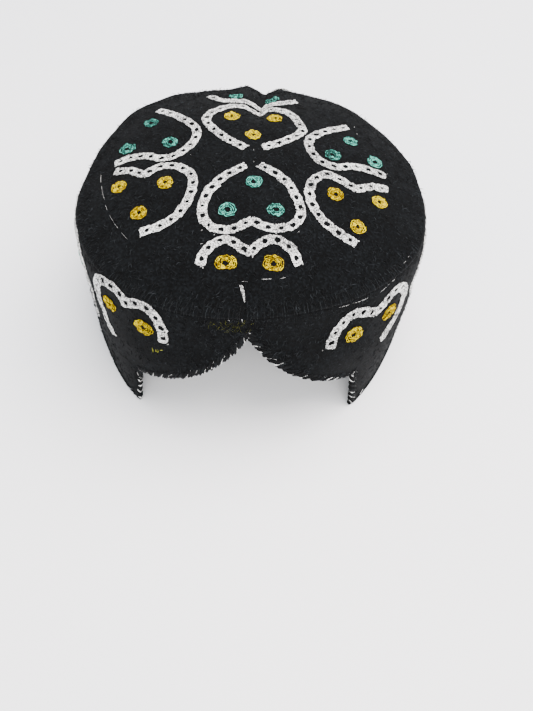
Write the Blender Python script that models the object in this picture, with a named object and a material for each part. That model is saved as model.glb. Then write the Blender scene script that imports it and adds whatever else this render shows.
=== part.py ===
"""Sindhi cap: a round felt cap with a domed crown disc, a high side band whose
front edge is cut into two scallops under a centre peak, and an overcast edge.

The cap stands on its lower edge. X runs across the head, -Y is the front, +Z is
up, and the origin is the centre of the bounding box on the surface below.
Lengths here are millimetres until place() turns them into metres.
"""

import math

import bmesh
import bpy

MM = 0.001

# Felt and its stitched edge.
WALL = 2.5
GAP = 0.3
CROWN_PROUD = 0.8
CROWN_CORNER = 0.9

# Heights above the surface that the cap stands on.
SEAM_HEIGHT = 82.5
DOME_RISE = 16.3
DOME_POWER = 2.5

# The seam line, where the crown disc meets the band, seen from above.
SEAM_HALF_WIDTH = 83.5
SEAM_HALF_DEPTH = 79.9
SEAM_BACK_SHIFT = -3.2
SEAM_WAVES = (
    # lobes round the outline, cosine share, sine share
    (2, 0.0, 0.003),
    (3, 0.023, -0.031),
)

# The lower edge, seen from above: longer than wide, fuller at the forehead.
RIM_HALF_WIDTH = 87.2
RIM_HALF_DEPTH = 91.9
RIM_WAVES = (
    (3, 0.0, 0.050),
    (4, -0.011, 0.0),
)

# The origin is the centre of the box round the cap, not of the outlines.
CENTRE_X = 0.05
CENTRE_Y = 0.38

# The fold that storing the cap flat has left at the back of the crown.
FOLD_ANGLE = 86.0
FOLD_HALF_WIDTH = 8.5
FOLD_SHARPNESS = 1.3
FOLD_DEPTH = 5.0
FOLD_EDGE_DEPTH = 3.0
FOLD_INWARD = 2.5
FOLD_START = 24.0
FOLD_FULL = 56.0
HOLLOW_DEPTH = 2.2
HOLLOW_SPREAD = 20.0

# The front cut-out: straight steps at its ends, two scallops, one peak.
FRONT_ANGLE = -90.0
STEP_ANGLE = 39.5
STEP_TOP = 31.5
PEAK_TOP = 74.5
SCALLOP_POWER = 1.42
RUN_RADIUS = 87.0

# The overcast edge, a flattened cord against the cut edge of the felt.
EDGE_HALF_WIDTH = 1.75
EDGE_HALF_HEIGHT = 1.0
EDGE_CORNER = 0.6
TIGHT_BEND = 1.5
PEAK_ROUND = 0.4
BEND_STEPS = 3

# Mesh fineness.
CROWN_RINGS = 12
COARSE_STEP = 5.0
FINE_STEP = 2.0
FINE_REACH = 18.0
UPPER_ROWS = 5
LOWER_ROWS = 3
SCALLOP_COLUMNS = 13

FELT_BLACK = (0.012, 0.013, 0.016, 1.0)
THREAD_BLACK = (0.045, 0.045, 0.048, 1.0)


def smooth(value):
    """Ease from 0 to 1 while value goes from 0 to 1."""
    value = min(max(value, 0.0), 1.0)
    return value * value * (3.0 - 2.0 * value)


def wave(angle, waves):
    """Radius of a wavy oval outline as a share of the plain oval's."""
    share = 1.0
    for lobes, cosine, sine in waves:
        share += cosine * math.cos(lobes * angle) + sine * math.sin(lobes * angle)
    return share


def fold_tent(offset, half_width):
    """Depth share of the sharp fold at a distance from its line."""
    return max(0.0, 1.0 - abs(offset) / half_width) ** FOLD_SHARPNESS


def seam_xy(degrees, share=1.0):
    """A point of the seam outline, or of the same outline shrunk to a share."""
    angle = math.radians(degrees)
    off_fold = (degrees - FOLD_ANGLE + 180.0) % 360.0 - 180.0
    fold_degrees = math.degrees(FOLD_HALF_WIDTH / SEAM_HALF_DEPTH)
    inward = FOLD_INWARD * fold_tent(off_fold, fold_degrees) * share
    radius = share * wave(angle, SEAM_WAVES)
    x = SEAM_HALF_WIDTH * radius * math.cos(angle)
    y = SEAM_HALF_DEPTH * radius * math.sin(angle)
    length = math.hypot(x, y) or 1.0
    pull = 1.0 - inward * share ** 4 / length
    return x * pull, y * pull + SEAM_BACK_SHIFT


def rim_xy(degrees):
    """A point of the lower edge's outline."""
    angle = math.radians(degrees)
    radius = wave(angle, RIM_WAVES)
    x = RIM_HALF_WIDTH * radius * math.cos(angle)
    y = RIM_HALF_DEPTH * radius * math.sin(angle)
    return x, y


def crown_height(degrees, share):
    """Height of the crown's upper face at a share of the way to the seam."""
    x, y = seam_xy(degrees, share)
    fold = math.radians(FOLD_ANGLE)
    along_x = SEAM_HALF_WIDTH * math.cos(fold)
    along_y = SEAM_HALF_DEPTH * math.sin(fold)
    length = math.hypot(along_x, along_y)
    along = (x * along_x + (y - SEAM_BACK_SHIFT) * along_y) / length
    across = (x * along_y - (y - SEAM_BACK_SHIFT) * along_x) / length
    grown = smooth((along - FOLD_START) / (FOLD_FULL - FOLD_START))
    ebbed = smooth((along - FOLD_FULL) / (length - FOLD_FULL))
    depth = FOLD_DEPTH * grown - (FOLD_DEPTH - FOLD_EDGE_DEPTH) * ebbed
    hollow = HOLLOW_DEPTH * grown * math.exp(-((across / HOLLOW_SPREAD) ** 2) / 2.0)
    dome = DOME_RISE * (1.0 - share**DOME_POWER)
    return SEAM_HEIGHT + dome - depth * fold_tent(across, FOLD_HALF_WIDTH) - hollow


def wall_point(degrees, height, inset):
    """A point of the band at an angle and a height, a distance in from its face."""

    def outer(at_degrees):
        top_x, top_y = seam_xy(at_degrees)
        low_x, low_y = rim_xy(at_degrees)
        climb = height / SEAM_HEIGHT
        return low_x + (top_x - low_x) * climb, low_y + (top_y - low_y) * climb

    x, y = outer(degrees)
    before_x, before_y = outer(degrees - 1.0)
    after_x, after_y = outer(degrees + 1.0)
    along_x = after_x - before_x
    along_y = after_y - before_y
    length = math.hypot(along_x, along_y)
    x -= inset * along_y / length
    y += inset * along_x / length
    return x, y, height


def scallop_height(off_front):
    """Height of the felt's cut edge at an angle from the front, in degrees."""
    way = 1.0 - abs(off_front) / STEP_ANGLE
    drop = (1.0 - way**SCALLOP_POWER) ** (1.0 / SCALLOP_POWER)
    return PEAK_TOP - (PEAK_TOP - STEP_TOP) * drop


def scallop_angles():
    """Angles from the front across the cut-out, closer together at the peak."""
    half = []
    for index in range(SCALLOP_COLUMNS):
        way = (index + 1) / SCALLOP_COLUMNS
        half.append(STEP_ANGLE * way**1.5)
    return [-off for off in reversed(half)] + [0.0] + half


def round_angles():
    """Angles all the way round, fine at the fold and at the cut-out's columns."""
    start = FRONT_ANGLE + STEP_ANGLE
    end = FRONT_ANGLE - STEP_ANGLE + 360.0
    angles = []
    angle = start
    while angle < end - 0.5 * FINE_STEP:
        angles.append(angle)
        fine = abs(angle + 0.5 * FINE_STEP - FOLD_ANGLE) < FINE_REACH
        angle += FINE_STEP if fine else COARSE_STEP
    angles.append(end)
    front = [FRONT_ANGLE + off + 360.0 for off in scallop_angles()[1:-1]]
    return angles, front


def place(x, y, z):
    """A point in metres from the origin at the centre of the cap's box."""
    return (x - CENTRE_X) * MM, (y - CENTRE_Y) * MM, z * MM


def material(name, colour, roughness):
    """A Principled material of one colour."""
    made = bpy.data.materials.new(name)
    made.use_nodes = True
    shader = made.node_tree.nodes["Principled BSDF"]
    shader.inputs["Base Color"].default_value = colour
    shader.inputs["Roughness"].default_value = roughness
    shader.inputs["Metallic"].default_value = 0.0
    made.diffuse_color = colour
    return made


def finish(name, mesh, finish_material):
    """Turn a bmesh into a shaded object with its faces pointing out."""
    bmesh.ops.recalc_face_normals(mesh, faces=mesh.faces)
    data = bpy.data.meshes.new(name)
    mesh.to_mesh(data)
    mesh.free()
    data.materials.append(finish_material)
    data.shade_smooth()
    data.set_sharp_from_angle(angle=math.radians(35.0))
    made = bpy.data.objects.new(name, data)
    bpy.context.scene.collection.objects.link(made)
    return made


def join_rings(mesh, first, second):
    """Quads between two closed rings of the same number of vertices."""
    for index in range(len(first)):
        following = (index + 1) % len(first)
        mesh.faces.new((first[index], first[following], second[following], second[index]))


def make_crown(felt):
    """The crown disc: a domed felt plate with a soft upper corner."""
    mesh = bmesh.new()
    side, front = round_angles()
    angles = side + front[::2]
    corner_share = 1.0 - CROWN_CORNER / SEAM_HALF_DEPTH
    shares = [index / CROWN_RINGS * corner_share for index in range(1, CROWN_RINGS + 1)]
    upper = []
    lower = []
    for share in shares:
        over = []
        under = []
        for degrees in angles:
            x, y = seam_xy(degrees, share)
            z = crown_height(degrees, share)
            over.append(mesh.verts.new(place(x, y, z)))
            under.append(mesh.verts.new(place(x, y, z - WALL)))
        upper.append(over)
        lower.append(under)
    edge_over = []
    edge_under = []
    for degrees in angles:
        x, y = seam_xy(degrees)
        z = crown_height(degrees, 1.0)
        edge_over.append(mesh.verts.new(place(x, y, z - CROWN_CORNER)))
        edge_under.append(mesh.verts.new(place(x, y, z - WALL)))
    upper.append(edge_over)
    lower.append(edge_under)
    for rings in (upper, lower):
        for inner, outer in zip(rings, rings[1:]):
            join_rings(mesh, inner, outer)
    join_rings(mesh, edge_over, edge_under)
    top = crown_height(0.0, 0.0)
    for ring, height in ((upper[0], top), (lower[0], top - WALL)):
        x, y = seam_xy(0.0, 0.0)
        centre = mesh.verts.new(place(x, y, height))
        for index in range(len(ring)):
            mesh.faces.new((ring[index], ring[(index + 1) % len(ring)], centre))
    return finish("crown", mesh, felt)


def band_top(degrees):
    """Height of the band's upper edge, just under the crown's lower face."""
    return crown_height(degrees, 1.0) - WALL - GAP


def make_band(felt):
    """The side band: one felt wall with the front edge cut to its outline."""
    mesh = bmesh.new()
    side, front = round_angles()
    angles = side + front
    edge_clear = 2.0 * EDGE_HALF_HEIGHT + GAP
    skins = []
    for inset in (CROWN_PROUD, CROWN_PROUD + WALL):
        upper = []
        lower = []
        for index, degrees in enumerate(angles):
            beside = index < len(side)
            foot = STEP_TOP if beside else scallop_height(degrees - FRONT_ANGLE - 360.0)
            top = band_top(degrees)
            column = []
            for row in range(UPPER_ROWS + 1):
                height = foot + (top - foot) * row / UPPER_ROWS
                column.append(mesh.verts.new(place(*wall_point(degrees, height, inset))))
            upper.append(column)
            if not beside:
                continue
            column = []
            for row in range(LOWER_ROWS):
                height = edge_clear + (foot - edge_clear) * row / LOWER_ROWS
                column.append(mesh.verts.new(place(*wall_point(degrees, height, inset))))
            column.append(upper[-1][0])
            lower.append(column)
        skins.append((upper, lower))
    for upper, lower in skins:
        for index in range(len(upper)):
            here = upper[index]
            there = upper[(index + 1) % len(upper)]
            for row in range(UPPER_ROWS):
                mesh.faces.new((here[row], there[row], there[row + 1], here[row + 1]))
        for here, there in zip(lower, lower[1:]):
            for row in range(LOWER_ROWS):
                mesh.faces.new((here[row], there[row], there[row + 1], here[row + 1]))
    outlines = []
    for upper, lower in skins:
        foot = [column[0] for column in lower]
        foot += lower[-1][1:]
        foot += [column[0] for column in upper[len(side):]]
        foot += list(reversed(lower[0][1:]))
        outlines.append((foot, [column[-1] for column in upper]))
    for ring in range(2):
        join_rings(mesh, outlines[0][ring], outlines[1][ring])
    return finish("side_band", mesh, felt)


def offset_scallop(away):
    """The left scallop's line moved down off the felt, up to the peak's middle."""
    per_degree = math.radians(RUN_RADIUS)
    felt = [(off * per_degree, scallop_height(off)) for off in scallop_angles()]
    moved = []
    for before, here, after in zip(felt, felt[1:], felt[2:]):
        run = after[0] - before[0]
        rise = after[1] - before[1]
        length = math.hypot(run, rise)
        x = here[0] + away * rise / length
        z = here[1] - away * run / length
        clear_of_step = x > away - STEP_ANGLE * per_degree + TIGHT_BEND
        rises = not moved or z > moved[-1][1]
        if clear_of_step and x < -PEAK_ROUND and rises:
            moved.append((x, z))
    (x_before, z_before), (x_last, z_last) = moved[-2:]
    slope = (z_last - z_before) / (x_last - x_before)
    return moved, z_last - slope * x_last


def bend(centre, radius, first, last):
    """Points of an arc in the plane of runs and heights, angles in degrees."""
    points = []
    for index in range(BEND_STEPS + 1):
        angle = math.radians(first + (last - first) * index / BEND_STEPS)
        points.append((centre[0] + radius * math.cos(angle), centre[1] + radius * math.sin(angle)))
    return points


def edge_route():
    """The overcast edge's centre line, as runs along the wall and heights.

    A run is a length round the band from the middle of the front, measured on
    a circle of RUN_RADIUS. The line keeps the same gap to the felt all round.
    """
    per_degree = math.radians(RUN_RADIUS)
    away = GAP + EDGE_HALF_HEIGHT
    foot = 2.0 * EDGE_HALF_HEIGHT + GAP
    turn = 360.0 * per_degree
    step = STEP_ANGLE * per_degree
    side, _ = round_angles()
    scallop, peak = offset_scallop(away)
    inner = step - away
    corner = STEP_TOP - away
    route = [((degrees - FRONT_ANGLE) * per_degree, foot - away) for degrees in side[1:-1]]
    route += bend((turn - step, foot), away, 270.0, 360.0)
    route.append((turn - inner, corner))
    route += [(turn + x, z) for x, z in scallop]
    route.append((turn, peak))
    route += [(turn - x, z) for x, z in reversed(scallop)]
    route.append((turn + inner, corner))
    route += bend((turn + step, foot), away, 180.0, 270.0)
    return route


def felt_normal(here, there):
    """The direction away from the felt beside a stretch of the edge's route."""
    turn = 360.0 * math.radians(RUN_RADIUS)
    run = (there[0] - here[0] + 0.5 * turn) % turn - 0.5 * turn
    rise = there[1] - here[1]
    length = math.hypot(run, rise)
    return rise / length, -run / length


def make_edge(thread):
    """The overcast edge: a flattened cord along the lower edge and the cut-out."""
    mesh = bmesh.new()
    per_degree = math.radians(RUN_RADIUS)
    middle = CROWN_PROUD + 0.5 * WALL
    wide = EDGE_HALF_WIDTH
    high = EDGE_HALF_HEIGHT
    section = (
        # offset across the wall, offset away from the felt
        (wide - EDGE_CORNER, high),
        (wide, high - EDGE_CORNER),
        (wide, EDGE_CORNER - high),
        (wide - EDGE_CORNER, -high),
        (EDGE_CORNER - wide, -high),
        (-wide, EDGE_CORNER - high),
        (-wide, high - EDGE_CORNER),
        (EDGE_CORNER - wide, high),
    )
    route = edge_route()
    rings = []
    for index, (run, height) in enumerate(route):
        before = route[index - 1]
        after = route[(index + 1) % len(route)]
        come = felt_normal(before, (run, height))
        go = felt_normal((run, height), after)
        share = 1.0 + come[0] * go[0] + come[1] * go[1]
        lean = ((come[0] + go[0]) / share, (come[1] + go[1]) / share)
        ring = []
        for across, away in section:
            degrees = (run + away * lean[0]) / per_degree + FRONT_ANGLE
            point = wall_point(degrees, height + away * lean[1], middle + across)
            ring.append(mesh.verts.new(place(*point)))
        rings.append(ring)
    for here, there in zip(rings, rings[1:] + rings[:1]):
        join_rings(mesh, here, there)
    return finish("rim_overcast", mesh, thread)


def main():
    """Clear the scene and build the cap."""
    for stale in list(bpy.data.objects):
        bpy.data.objects.remove(stale)
    felt = material("black_felt", FELT_BLACK, 0.95)
    thread = material("black_thread", THREAD_BLACK, 0.8)
    make_crown(felt)
    make_band(felt)
    make_edge(thread)


if __name__ == "__main__":
    main()
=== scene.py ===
"""The sindhi cap, dressed: felt, looped hearts and eyelets, seam stitches and overcast edge.

The cap stands on its lower edge on a pale floor. Lengths are millimetres in the cap's own
frame (X across, -Y the front, +Z up) until mesh_from() turns them into metres. The crown's
pattern is placed in plan, as (x, y). The band's is placed by its run, the length round the
band from the middle of the front, and by its height.
"""

import logging
import math
from dataclasses import dataclass, field
from enum import Enum

import bpy
import numpy as np
from mathutils import Matrix, Vector


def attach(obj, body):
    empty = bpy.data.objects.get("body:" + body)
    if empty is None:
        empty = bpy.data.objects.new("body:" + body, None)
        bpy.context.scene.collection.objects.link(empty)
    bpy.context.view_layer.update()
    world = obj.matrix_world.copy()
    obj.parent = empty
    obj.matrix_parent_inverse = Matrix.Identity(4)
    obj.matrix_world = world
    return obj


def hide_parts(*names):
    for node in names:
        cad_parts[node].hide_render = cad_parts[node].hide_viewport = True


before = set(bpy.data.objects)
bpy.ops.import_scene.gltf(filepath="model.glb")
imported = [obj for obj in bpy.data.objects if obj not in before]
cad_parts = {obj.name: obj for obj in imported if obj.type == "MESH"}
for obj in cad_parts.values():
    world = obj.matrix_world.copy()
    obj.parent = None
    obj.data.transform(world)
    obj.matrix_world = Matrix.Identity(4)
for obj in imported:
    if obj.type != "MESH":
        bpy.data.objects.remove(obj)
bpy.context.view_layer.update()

log = logging.getLogger("sindhi_cap")

MM = 0.001
PICTURE_WIDTH = 533
PICTURE_HEIGHT = 711

Array = np.ndarray


class Slot(Enum):
    """The record's material slots."""

    FELT = "black_felt"
    BLACK = "black_thread"
    WHITE = "white_thread"
    YELLOW = "yellow_thread"
    TEAL = "teal_thread"


def ease(value: Array, start: float = 0.0, over: float = 1.0) -> Array:
    """Ease from 0 to 1 while value goes on from start by the distance over."""
    held = np.clip((value - start) / over, 0.0, 1.0)
    return held * held * (3.0 - 2.0 * held)


def nearest(value: Array, turn: float = 360.0) -> Array:
    """The value less whole turns, so that it lies within half a turn of nothing."""
    return (value + 0.5 * turn) % turn - 0.5 * turn


def tent(offset: Array, half_width: float, sharpness: float) -> Array:
    """Depth share of a sharp fold at a distance from its line."""
    return np.clip(1.0 - np.abs(offset) / half_width, 0.0, None) ** sharpness


def unit(vectors: Array) -> Array:
    """The vectors of the last axis at length one."""
    return vectors / np.maximum(np.linalg.norm(vectors, axis=-1, keepdims=True), 1e-9)


@dataclass(frozen=True)
class CapShape:
    """The cap's form, in millimetres: the outlines and folds that its solids have."""

    wall: float = 2.5
    crown_proud: float = 0.8
    seam_height: float = 82.5
    dome_rise: float = 16.3
    dome_power: float = 2.5
    seam_half_width: float = 83.5
    seam_half_depth: float = 79.9
    seam_back_shift: float = -3.2
    seam_waves: tuple = ((2, 0.0, 0.003), (3, 0.023, -0.031))
    rim_half_width: float = 87.2
    rim_half_depth: float = 91.9
    rim_waves: tuple = ((3, 0.0, 0.050), (4, -0.011, 0.0))
    centre: tuple = (0.05, 0.38)
    fold_angle: float = 86.0
    fold_half_width: float = 8.5
    fold_sharpness: float = 1.3
    fold_depth: float = 5.0
    fold_edge_depth: float = 3.0
    fold_inward: float = 2.5
    fold_start: float = 24.0
    fold_full: float = 56.0
    hollow_depth: float = 2.2
    hollow_spread: float = 20.0
    front_angle: float = -90.0
    step_angle: float = 39.5
    step_top: float = 31.5
    peak_top: float = 74.5
    scallop_power: float = 1.42
    run_radius: float = 87.0
    foot: float = 2.3
    thin: float = 1.2
    # Each change below eases in or out from its first number, over the distance of its second.
    flush: float = 0.55
    flush_grows: tuple = (75.0, 6.0)
    flare: float = 1.3
    flare_right: float = 0.5
    flare_front: float = 2.4
    flare_leaves_front: tuple = (38.0, 27.0)
    flare_fades: tuple = (44.0, 24.0)
    shoulder: float = 1.8
    shoulder_grows: tuple = (50.0, 18.0)
    shoulder_fades: tuple = (74.0, 8.5)
    lean_left: float = 4.7
    lean_right: float = 3.7
    lean_reach: float = 9.0
    lean_at_foot: float = 0.25
    lean_grows: tuple = (0.0, 32.0)
    lean_fades: tuple = (34.0, 24.0)
    unevenness: tuple = (
        # angle round the cap, how far handling has pushed the seam out
        (-28.0, 0.0), (-9.0, -2.3), (3.0, -2.3), (19.0, 0.0), (36.0, 1.3), (53.0, 2.7), (72.0, 0.4),
        (91.0, 0.0), (101.0, -4.1), (109.0, -3.7), (123.0, -0.3), (138.0, 2.1), (151.0, 0.6),
        (175.0, -0.7), (187.0, 0.0), (332.0, 0.0),
    )
    bulge: float = 0.9
    side_bulge: float = 0.5
    edge_wall: float = 1.9
    pressed: float = 0.45
    lump: float = 0.22
    lump_length: float = 21.0
    crease_depth: float = 0.9
    crease_half_width: float = 3.0
    crease_x: float = -2.0
    crease_start: float = -58.0
    crease_over: float = 10.0

    @property
    def per_degree(self) -> float:
        """Run along the band for each degree round the cap."""
        return math.radians(self.run_radius)

    @property
    def round_run(self) -> float:
        """Run once round the band."""
        return 360.0 * self.per_degree

    @property
    def step_run(self) -> float:
        """Run from the middle of the front to the cut-out's step."""
        return self.step_angle * self.per_degree

    @staticmethod
    def wave(angle: Array, waves: tuple) -> Array:
        """Radius of a wavy oval outline as a share of the plain oval's.

        Args:
            angle: Angles round the oval, in radians.
            waves: Each wave's number of lobes, cosine and sine.

        Returns:
            The shares, about 1.
        """
        share = 1.0
        for lobes, cosine, sine in waves:
            share = share + cosine * np.cos(lobes * angle) + sine * np.sin(lobes * angle)
        return share

    def uneven(self, degrees: Array) -> Array:
        """How far the seam lies outside its even outline at an angle.

        Args:
            degrees: Angles round the cap.

        Returns:
            The distances, below zero for inside.
        """
        angles, pushes = np.array(self.unevenness).T
        turned = (degrees - angles[0]) % 360.0 + angles[0]
        index = np.clip(np.searchsorted(angles, turned, "right") - 1, 0, len(angles) - 2)
        way = ease(turned, angles[index], angles[index + 1] - angles[index])
        return pushes[index] + (pushes[index + 1] - pushes[index]) * way

    def seam_xy(self, degrees: Array, share: Array = 1.0) -> tuple[Array, Array]:
        """Points of the seam outline, or of the same outline shrunk to a share.

        Args:
            degrees: Angles round the cap.
            share: Share of the way from the crown's middle to the seam.

        Returns:
            The points' x and y before the frame's centre is taken off.
        """
        angle = np.radians(degrees)
        half_degrees = math.degrees(self.fold_half_width / self.seam_half_depth)
        off_fold = nearest(degrees - self.fold_angle)
        inward = self.fold_inward * tent(off_fold, half_degrees, self.fold_sharpness)
        radius = share * self.wave(angle, self.seam_waves)
        x = self.seam_half_width * radius * np.cos(angle)
        y = self.seam_half_depth * radius * np.sin(angle)
        pushed = self.uneven(degrees) * share**3 - inward * share**5
        pull = 1.0 + pushed / np.maximum(np.hypot(x, y), 1e-6)
        return x * pull, y * pull + self.seam_back_shift

    def rim_xy(self, degrees: Array) -> tuple[Array, Array]:
        """Points of the lower edge's outline.

        Args:
            degrees: Angles round the cap.

        Returns:
            The points' x and y before the frame's centre is taken off.
        """
        angle = np.radians(degrees)
        radius = self.wave(angle, self.rim_waves)
        return self.rim_half_width * radius * np.cos(angle), self.rim_half_depth * radius * np.sin(angle)

    def centred(self, x: Array, y: Array) -> tuple[Array, Array]:
        """Places in plan, moved to the middle of the cap's own frame."""
        return x - self.centre[0], y - self.centre[1]

    def framed(self, x: Array, y: Array, z: Array) -> Array:
        """Points in the cap's own frame, on the last axis."""
        return np.stack(np.broadcast_arrays(*self.centred(x, y), z), axis=-1)

    def share_at(self, x: Array, y: Array) -> Array:
        """Share of the way from the crown's middle to the seam at a place in plan.

        Args:
            x: Places across, before the frame's centre is taken off.
            y: The same towards the back.

        Returns:
            The shares, 1 on the seam.
        """
        deep = y - self.seam_back_shift
        degrees = np.degrees(np.arctan2(deep / self.seam_half_depth, x / self.seam_half_width))
        full_x, full_y = self.seam_xy(degrees)
        return np.hypot(x, deep) / np.hypot(full_x, full_y - self.seam_back_shift)

    def crown_height(self, x: Array, y: Array) -> Array:
        """Height of the crown's upper face at a place in plan.

        Args:
            x: Places across, before the frame's centre is taken off.
            y: The same towards the back.

        Returns:
            The heights above the floor.
        """
        share = np.clip(self.share_at(x, y), 0.0, 1.0)
        fold = math.radians(self.fold_angle)
        along_x = self.seam_half_width * math.cos(fold)
        along_y = self.seam_half_depth * math.sin(fold)
        length = math.hypot(along_x, along_y)
        deep = y - self.seam_back_shift
        along = (x * along_x + deep * along_y) / length
        across = (x * along_y - deep * along_x) / length
        grown = ease(along, self.fold_start, self.fold_full - self.fold_start)
        ebbed = ease(along, self.fold_full, length - self.fold_full)
        depth = self.fold_depth * grown - (self.fold_depth - self.fold_edge_depth) * ebbed
        hollow = self.hollow_depth * grown * np.exp(-((across / self.hollow_spread) ** 2) / 2.0)
        height = self.seam_height + self.dome_rise * (1.0 - share**self.dome_power)
        height = height - depth * tent(across, self.fold_half_width, self.fold_sharpness) - hollow
        crease = self.crease_depth * ease(self.crease_start - y, 0.0, self.crease_over)
        height = height - crease * tent(x - self.crease_x, self.crease_half_width, 1.5)
        return height + self.lumps(x, y) * (1.0 - share**8)

    def lumps(self, u: Array, v: Array) -> Array:
        """Small unevenness of handled felt, from three crossing waves.

        Args:
            u: First coordinates on the felt.
            v: Second coordinates on the felt.

        Returns:
            Distances out from the even felt.
        """
        length = self.lump_length
        first = np.sin(u / length * 2.1 + 0.4 * v / length + 0.7)
        second = np.sin(v / length * 2.9 - 0.9 * u / length + 2.2)
        third = np.sin((u + v) / length * 4.3 + 1.1)
        return self.lump * (first + second + 0.6 * third)

    def wall_xyz(self, degrees: Array, height: Array, lift: Array) -> Array:
        """Points of the band at an angle and a height, lifted off its outer face.

        Args:
            degrees: Angles round the cap.
            height: Heights above the floor.
            lift: Distance out from the outer face, below zero for inwards.

        Returns:
            The points in the cap's own frame, on the last axis.
        """

        def outer(at_degrees: Array) -> tuple[Array, Array]:
            """The even wall between the lower edge's outline and the seam's.

            Args:
                at_degrees: Angles round the cap.

            Returns:
                The points' x and y before the frame's centre is taken off.
            """
            top_x, top_y = self.seam_xy(at_degrees)
            low_x, low_y = self.rim_xy(at_degrees)
            climb = height / self.seam_height
            return low_x + (top_x - low_x) * climb, low_y + (top_y - low_y) * climb

        x, y = outer(degrees)
        before_x, before_y = outer(degrees - 1.0)
        after_x, after_y = outer(degrees + 1.0)
        along_x = after_x - before_x
        along_y = after_y - before_y
        length = np.hypot(along_x, along_y)
        belly = np.sin(np.pi * np.clip(height / self.seam_height, 0.0, 1.0))
        cosine = np.cos(np.radians(degrees))
        out = (self.bulge + self.side_bulge * cosine) * belly
        out = out + self.lumps(degrees * self.per_degree, height) * belly
        out = out + lift - self.crown_proud + self.flush * ease(height, *self.flush_grows)
        off_front = np.abs(nearest(degrees - self.front_angle))
        flare = self.flare + self.flare_right * cosine
        flare = flare + (self.flare_front - flare) * (1.0 - ease(off_front, *self.flare_leaves_front))
        out = out + flare * (1.0 - ease(height, *self.flare_fades))
        shoulder = self.shoulder * np.abs(cosine) * ease(height, *self.shoulder_grows)
        out = out + shoulder * (1.0 - ease(height, *self.shoulder_fades))
        return self.framed(x + out * along_y / length, y - out * along_x / length, height)

    def leaned(self, run: Array, height: Array) -> Array:
        """The run with the shift of the two steps, whose cuts lean towards the front.

        Args:
            run: Runs along the band.
            height: Heights above the floor.

        Returns:
            The shifted runs.
        """
        off = nearest(run, self.round_run)
        left = self.lean_left * np.exp(-(((off + self.step_run) / self.lean_reach) ** 2))
        right = self.lean_right * np.exp(-(((off - self.step_run) / self.lean_reach) ** 2))
        share = self.lean_at_foot + (1.0 - self.lean_at_foot) * ease(height, *self.lean_grows)
        return run + (left - right) * share * (1.0 - ease(height, *self.lean_fades))

    def scallop_height(self, off_front: Array) -> Array:
        """Height of the felt's cut edge at an angle from the front, in degrees.

        Args:
            off_front: Angles from the front.

        Returns:
            The heights above the floor.
        """
        way = np.clip(1.0 - np.abs(off_front) / self.step_angle, 0.0, 1.0)
        drop = (1.0 - way**self.scallop_power) ** (1.0 / self.scallop_power)
        return self.peak_top - (self.peak_top - self.step_top) * drop

    def band_top(self, degrees: Array) -> Array:
        """Height of the band's upper edge, just under the crown."""
        x, y = self.seam_xy(degrees, 0.999)
        return self.crown_height(x, y) - self.thin

    def foot_at(self, run: Array) -> Array:
        """Height of the felt's lower edge at a run along the band."""
        off = nearest(run / self.per_degree)
        return np.where(np.abs(off) < self.step_angle, self.scallop_height(off), self.foot)


SHAPE = CapShape()


class Ground:
    """A face of the cap that stitches lie on, with its own two coordinates."""

    step: float = 0.4

    def points(self, u: Array, v: Array, lift: Array) -> Array:
        """Points lifted off the face, on the last axis."""
        raise NotImplementedError

    def normals(self, u: Array, v: Array) -> Array:
        """Outward directions of the face.

        Args:
            u: First coordinates on the face.
            v: Second coordinates on the face.

        Returns:
            The directions, on the last axis.
        """
        along = self.points(u + self.step, v, 0.0) - self.points(u - self.step, v, 0.0)
        up = self.points(u, v + self.step, 0.0) - self.points(u, v - self.step, 0.0)
        return unit(np.cross(along, up))


class CrownGround(Ground):
    """The crown's upper face, placed in plan."""

    def height(self, x: Array, y: Array) -> Array:
        """Height of the face at a place in the cap's frame."""
        return SHAPE.crown_height(x + SHAPE.centre[0], y + SHAPE.centre[1])

    def points(self, u: Array, v: Array, lift: Array) -> Array:
        """Points lifted off the crown, on the last axis.

        Args:
            u: Places across, in the cap's frame.
            v: Places towards the back.
            lift: Distances out from the face.

        Returns:
            The points in the cap's own frame.
        """
        z = self.height(u, v)
        slope_x = (self.height(u + self.step, v) - self.height(u - self.step, v)) / (2.0 * self.step)
        slope_y = (self.height(u, v + self.step) - self.height(u, v - self.step)) / (2.0 * self.step)
        out = unit(np.stack([-slope_x, -slope_y, np.ones_like(slope_x)], axis=-1))
        return np.stack([u, v, z], axis=-1) + out * np.asarray(lift)[..., None]


class BandGround(Ground):
    """The band's outer face, placed by run and height."""

    def points(self, u: Array, v: Array, lift: Array) -> Array:
        """Points lifted off the band, on the last axis."""
        degrees = SHAPE.leaned(u, v) / SHAPE.per_degree + SHAPE.front_angle
        return SHAPE.wall_xyz(degrees, v, lift)


CROWN = CrownGround()
BAND = BandGround()


def ring_faces(first: Array, second: Array) -> Array:
    """Quads between closed rings of vertex numbers, one ring or one row of rings at a time."""
    rolled = [np.roll(ring, -1, axis=-1) for ring in (first, second)]
    return np.stack([first, *rolled, second], axis=-1).reshape(-1, 4)


def grid_faces(numbers: Array) -> Array:
    """Quads of an open grid of vertex numbers."""
    corners = [numbers[:-1, :-1], numbers[:-1, 1:], numbers[1:, 1:], numbers[1:, :-1]]
    return np.stack(corners, axis=-1).reshape(-1, 4)


def tip_faces(ring: Array, tip: int, under: bool = False) -> Array:
    """Triangles from a closed ring to one vertex, turned over if they close it from under."""
    made = ring_faces(ring, np.full(len(ring), tip))
    return made[:, [1, 0, 2, 2]] if under else made


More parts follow.
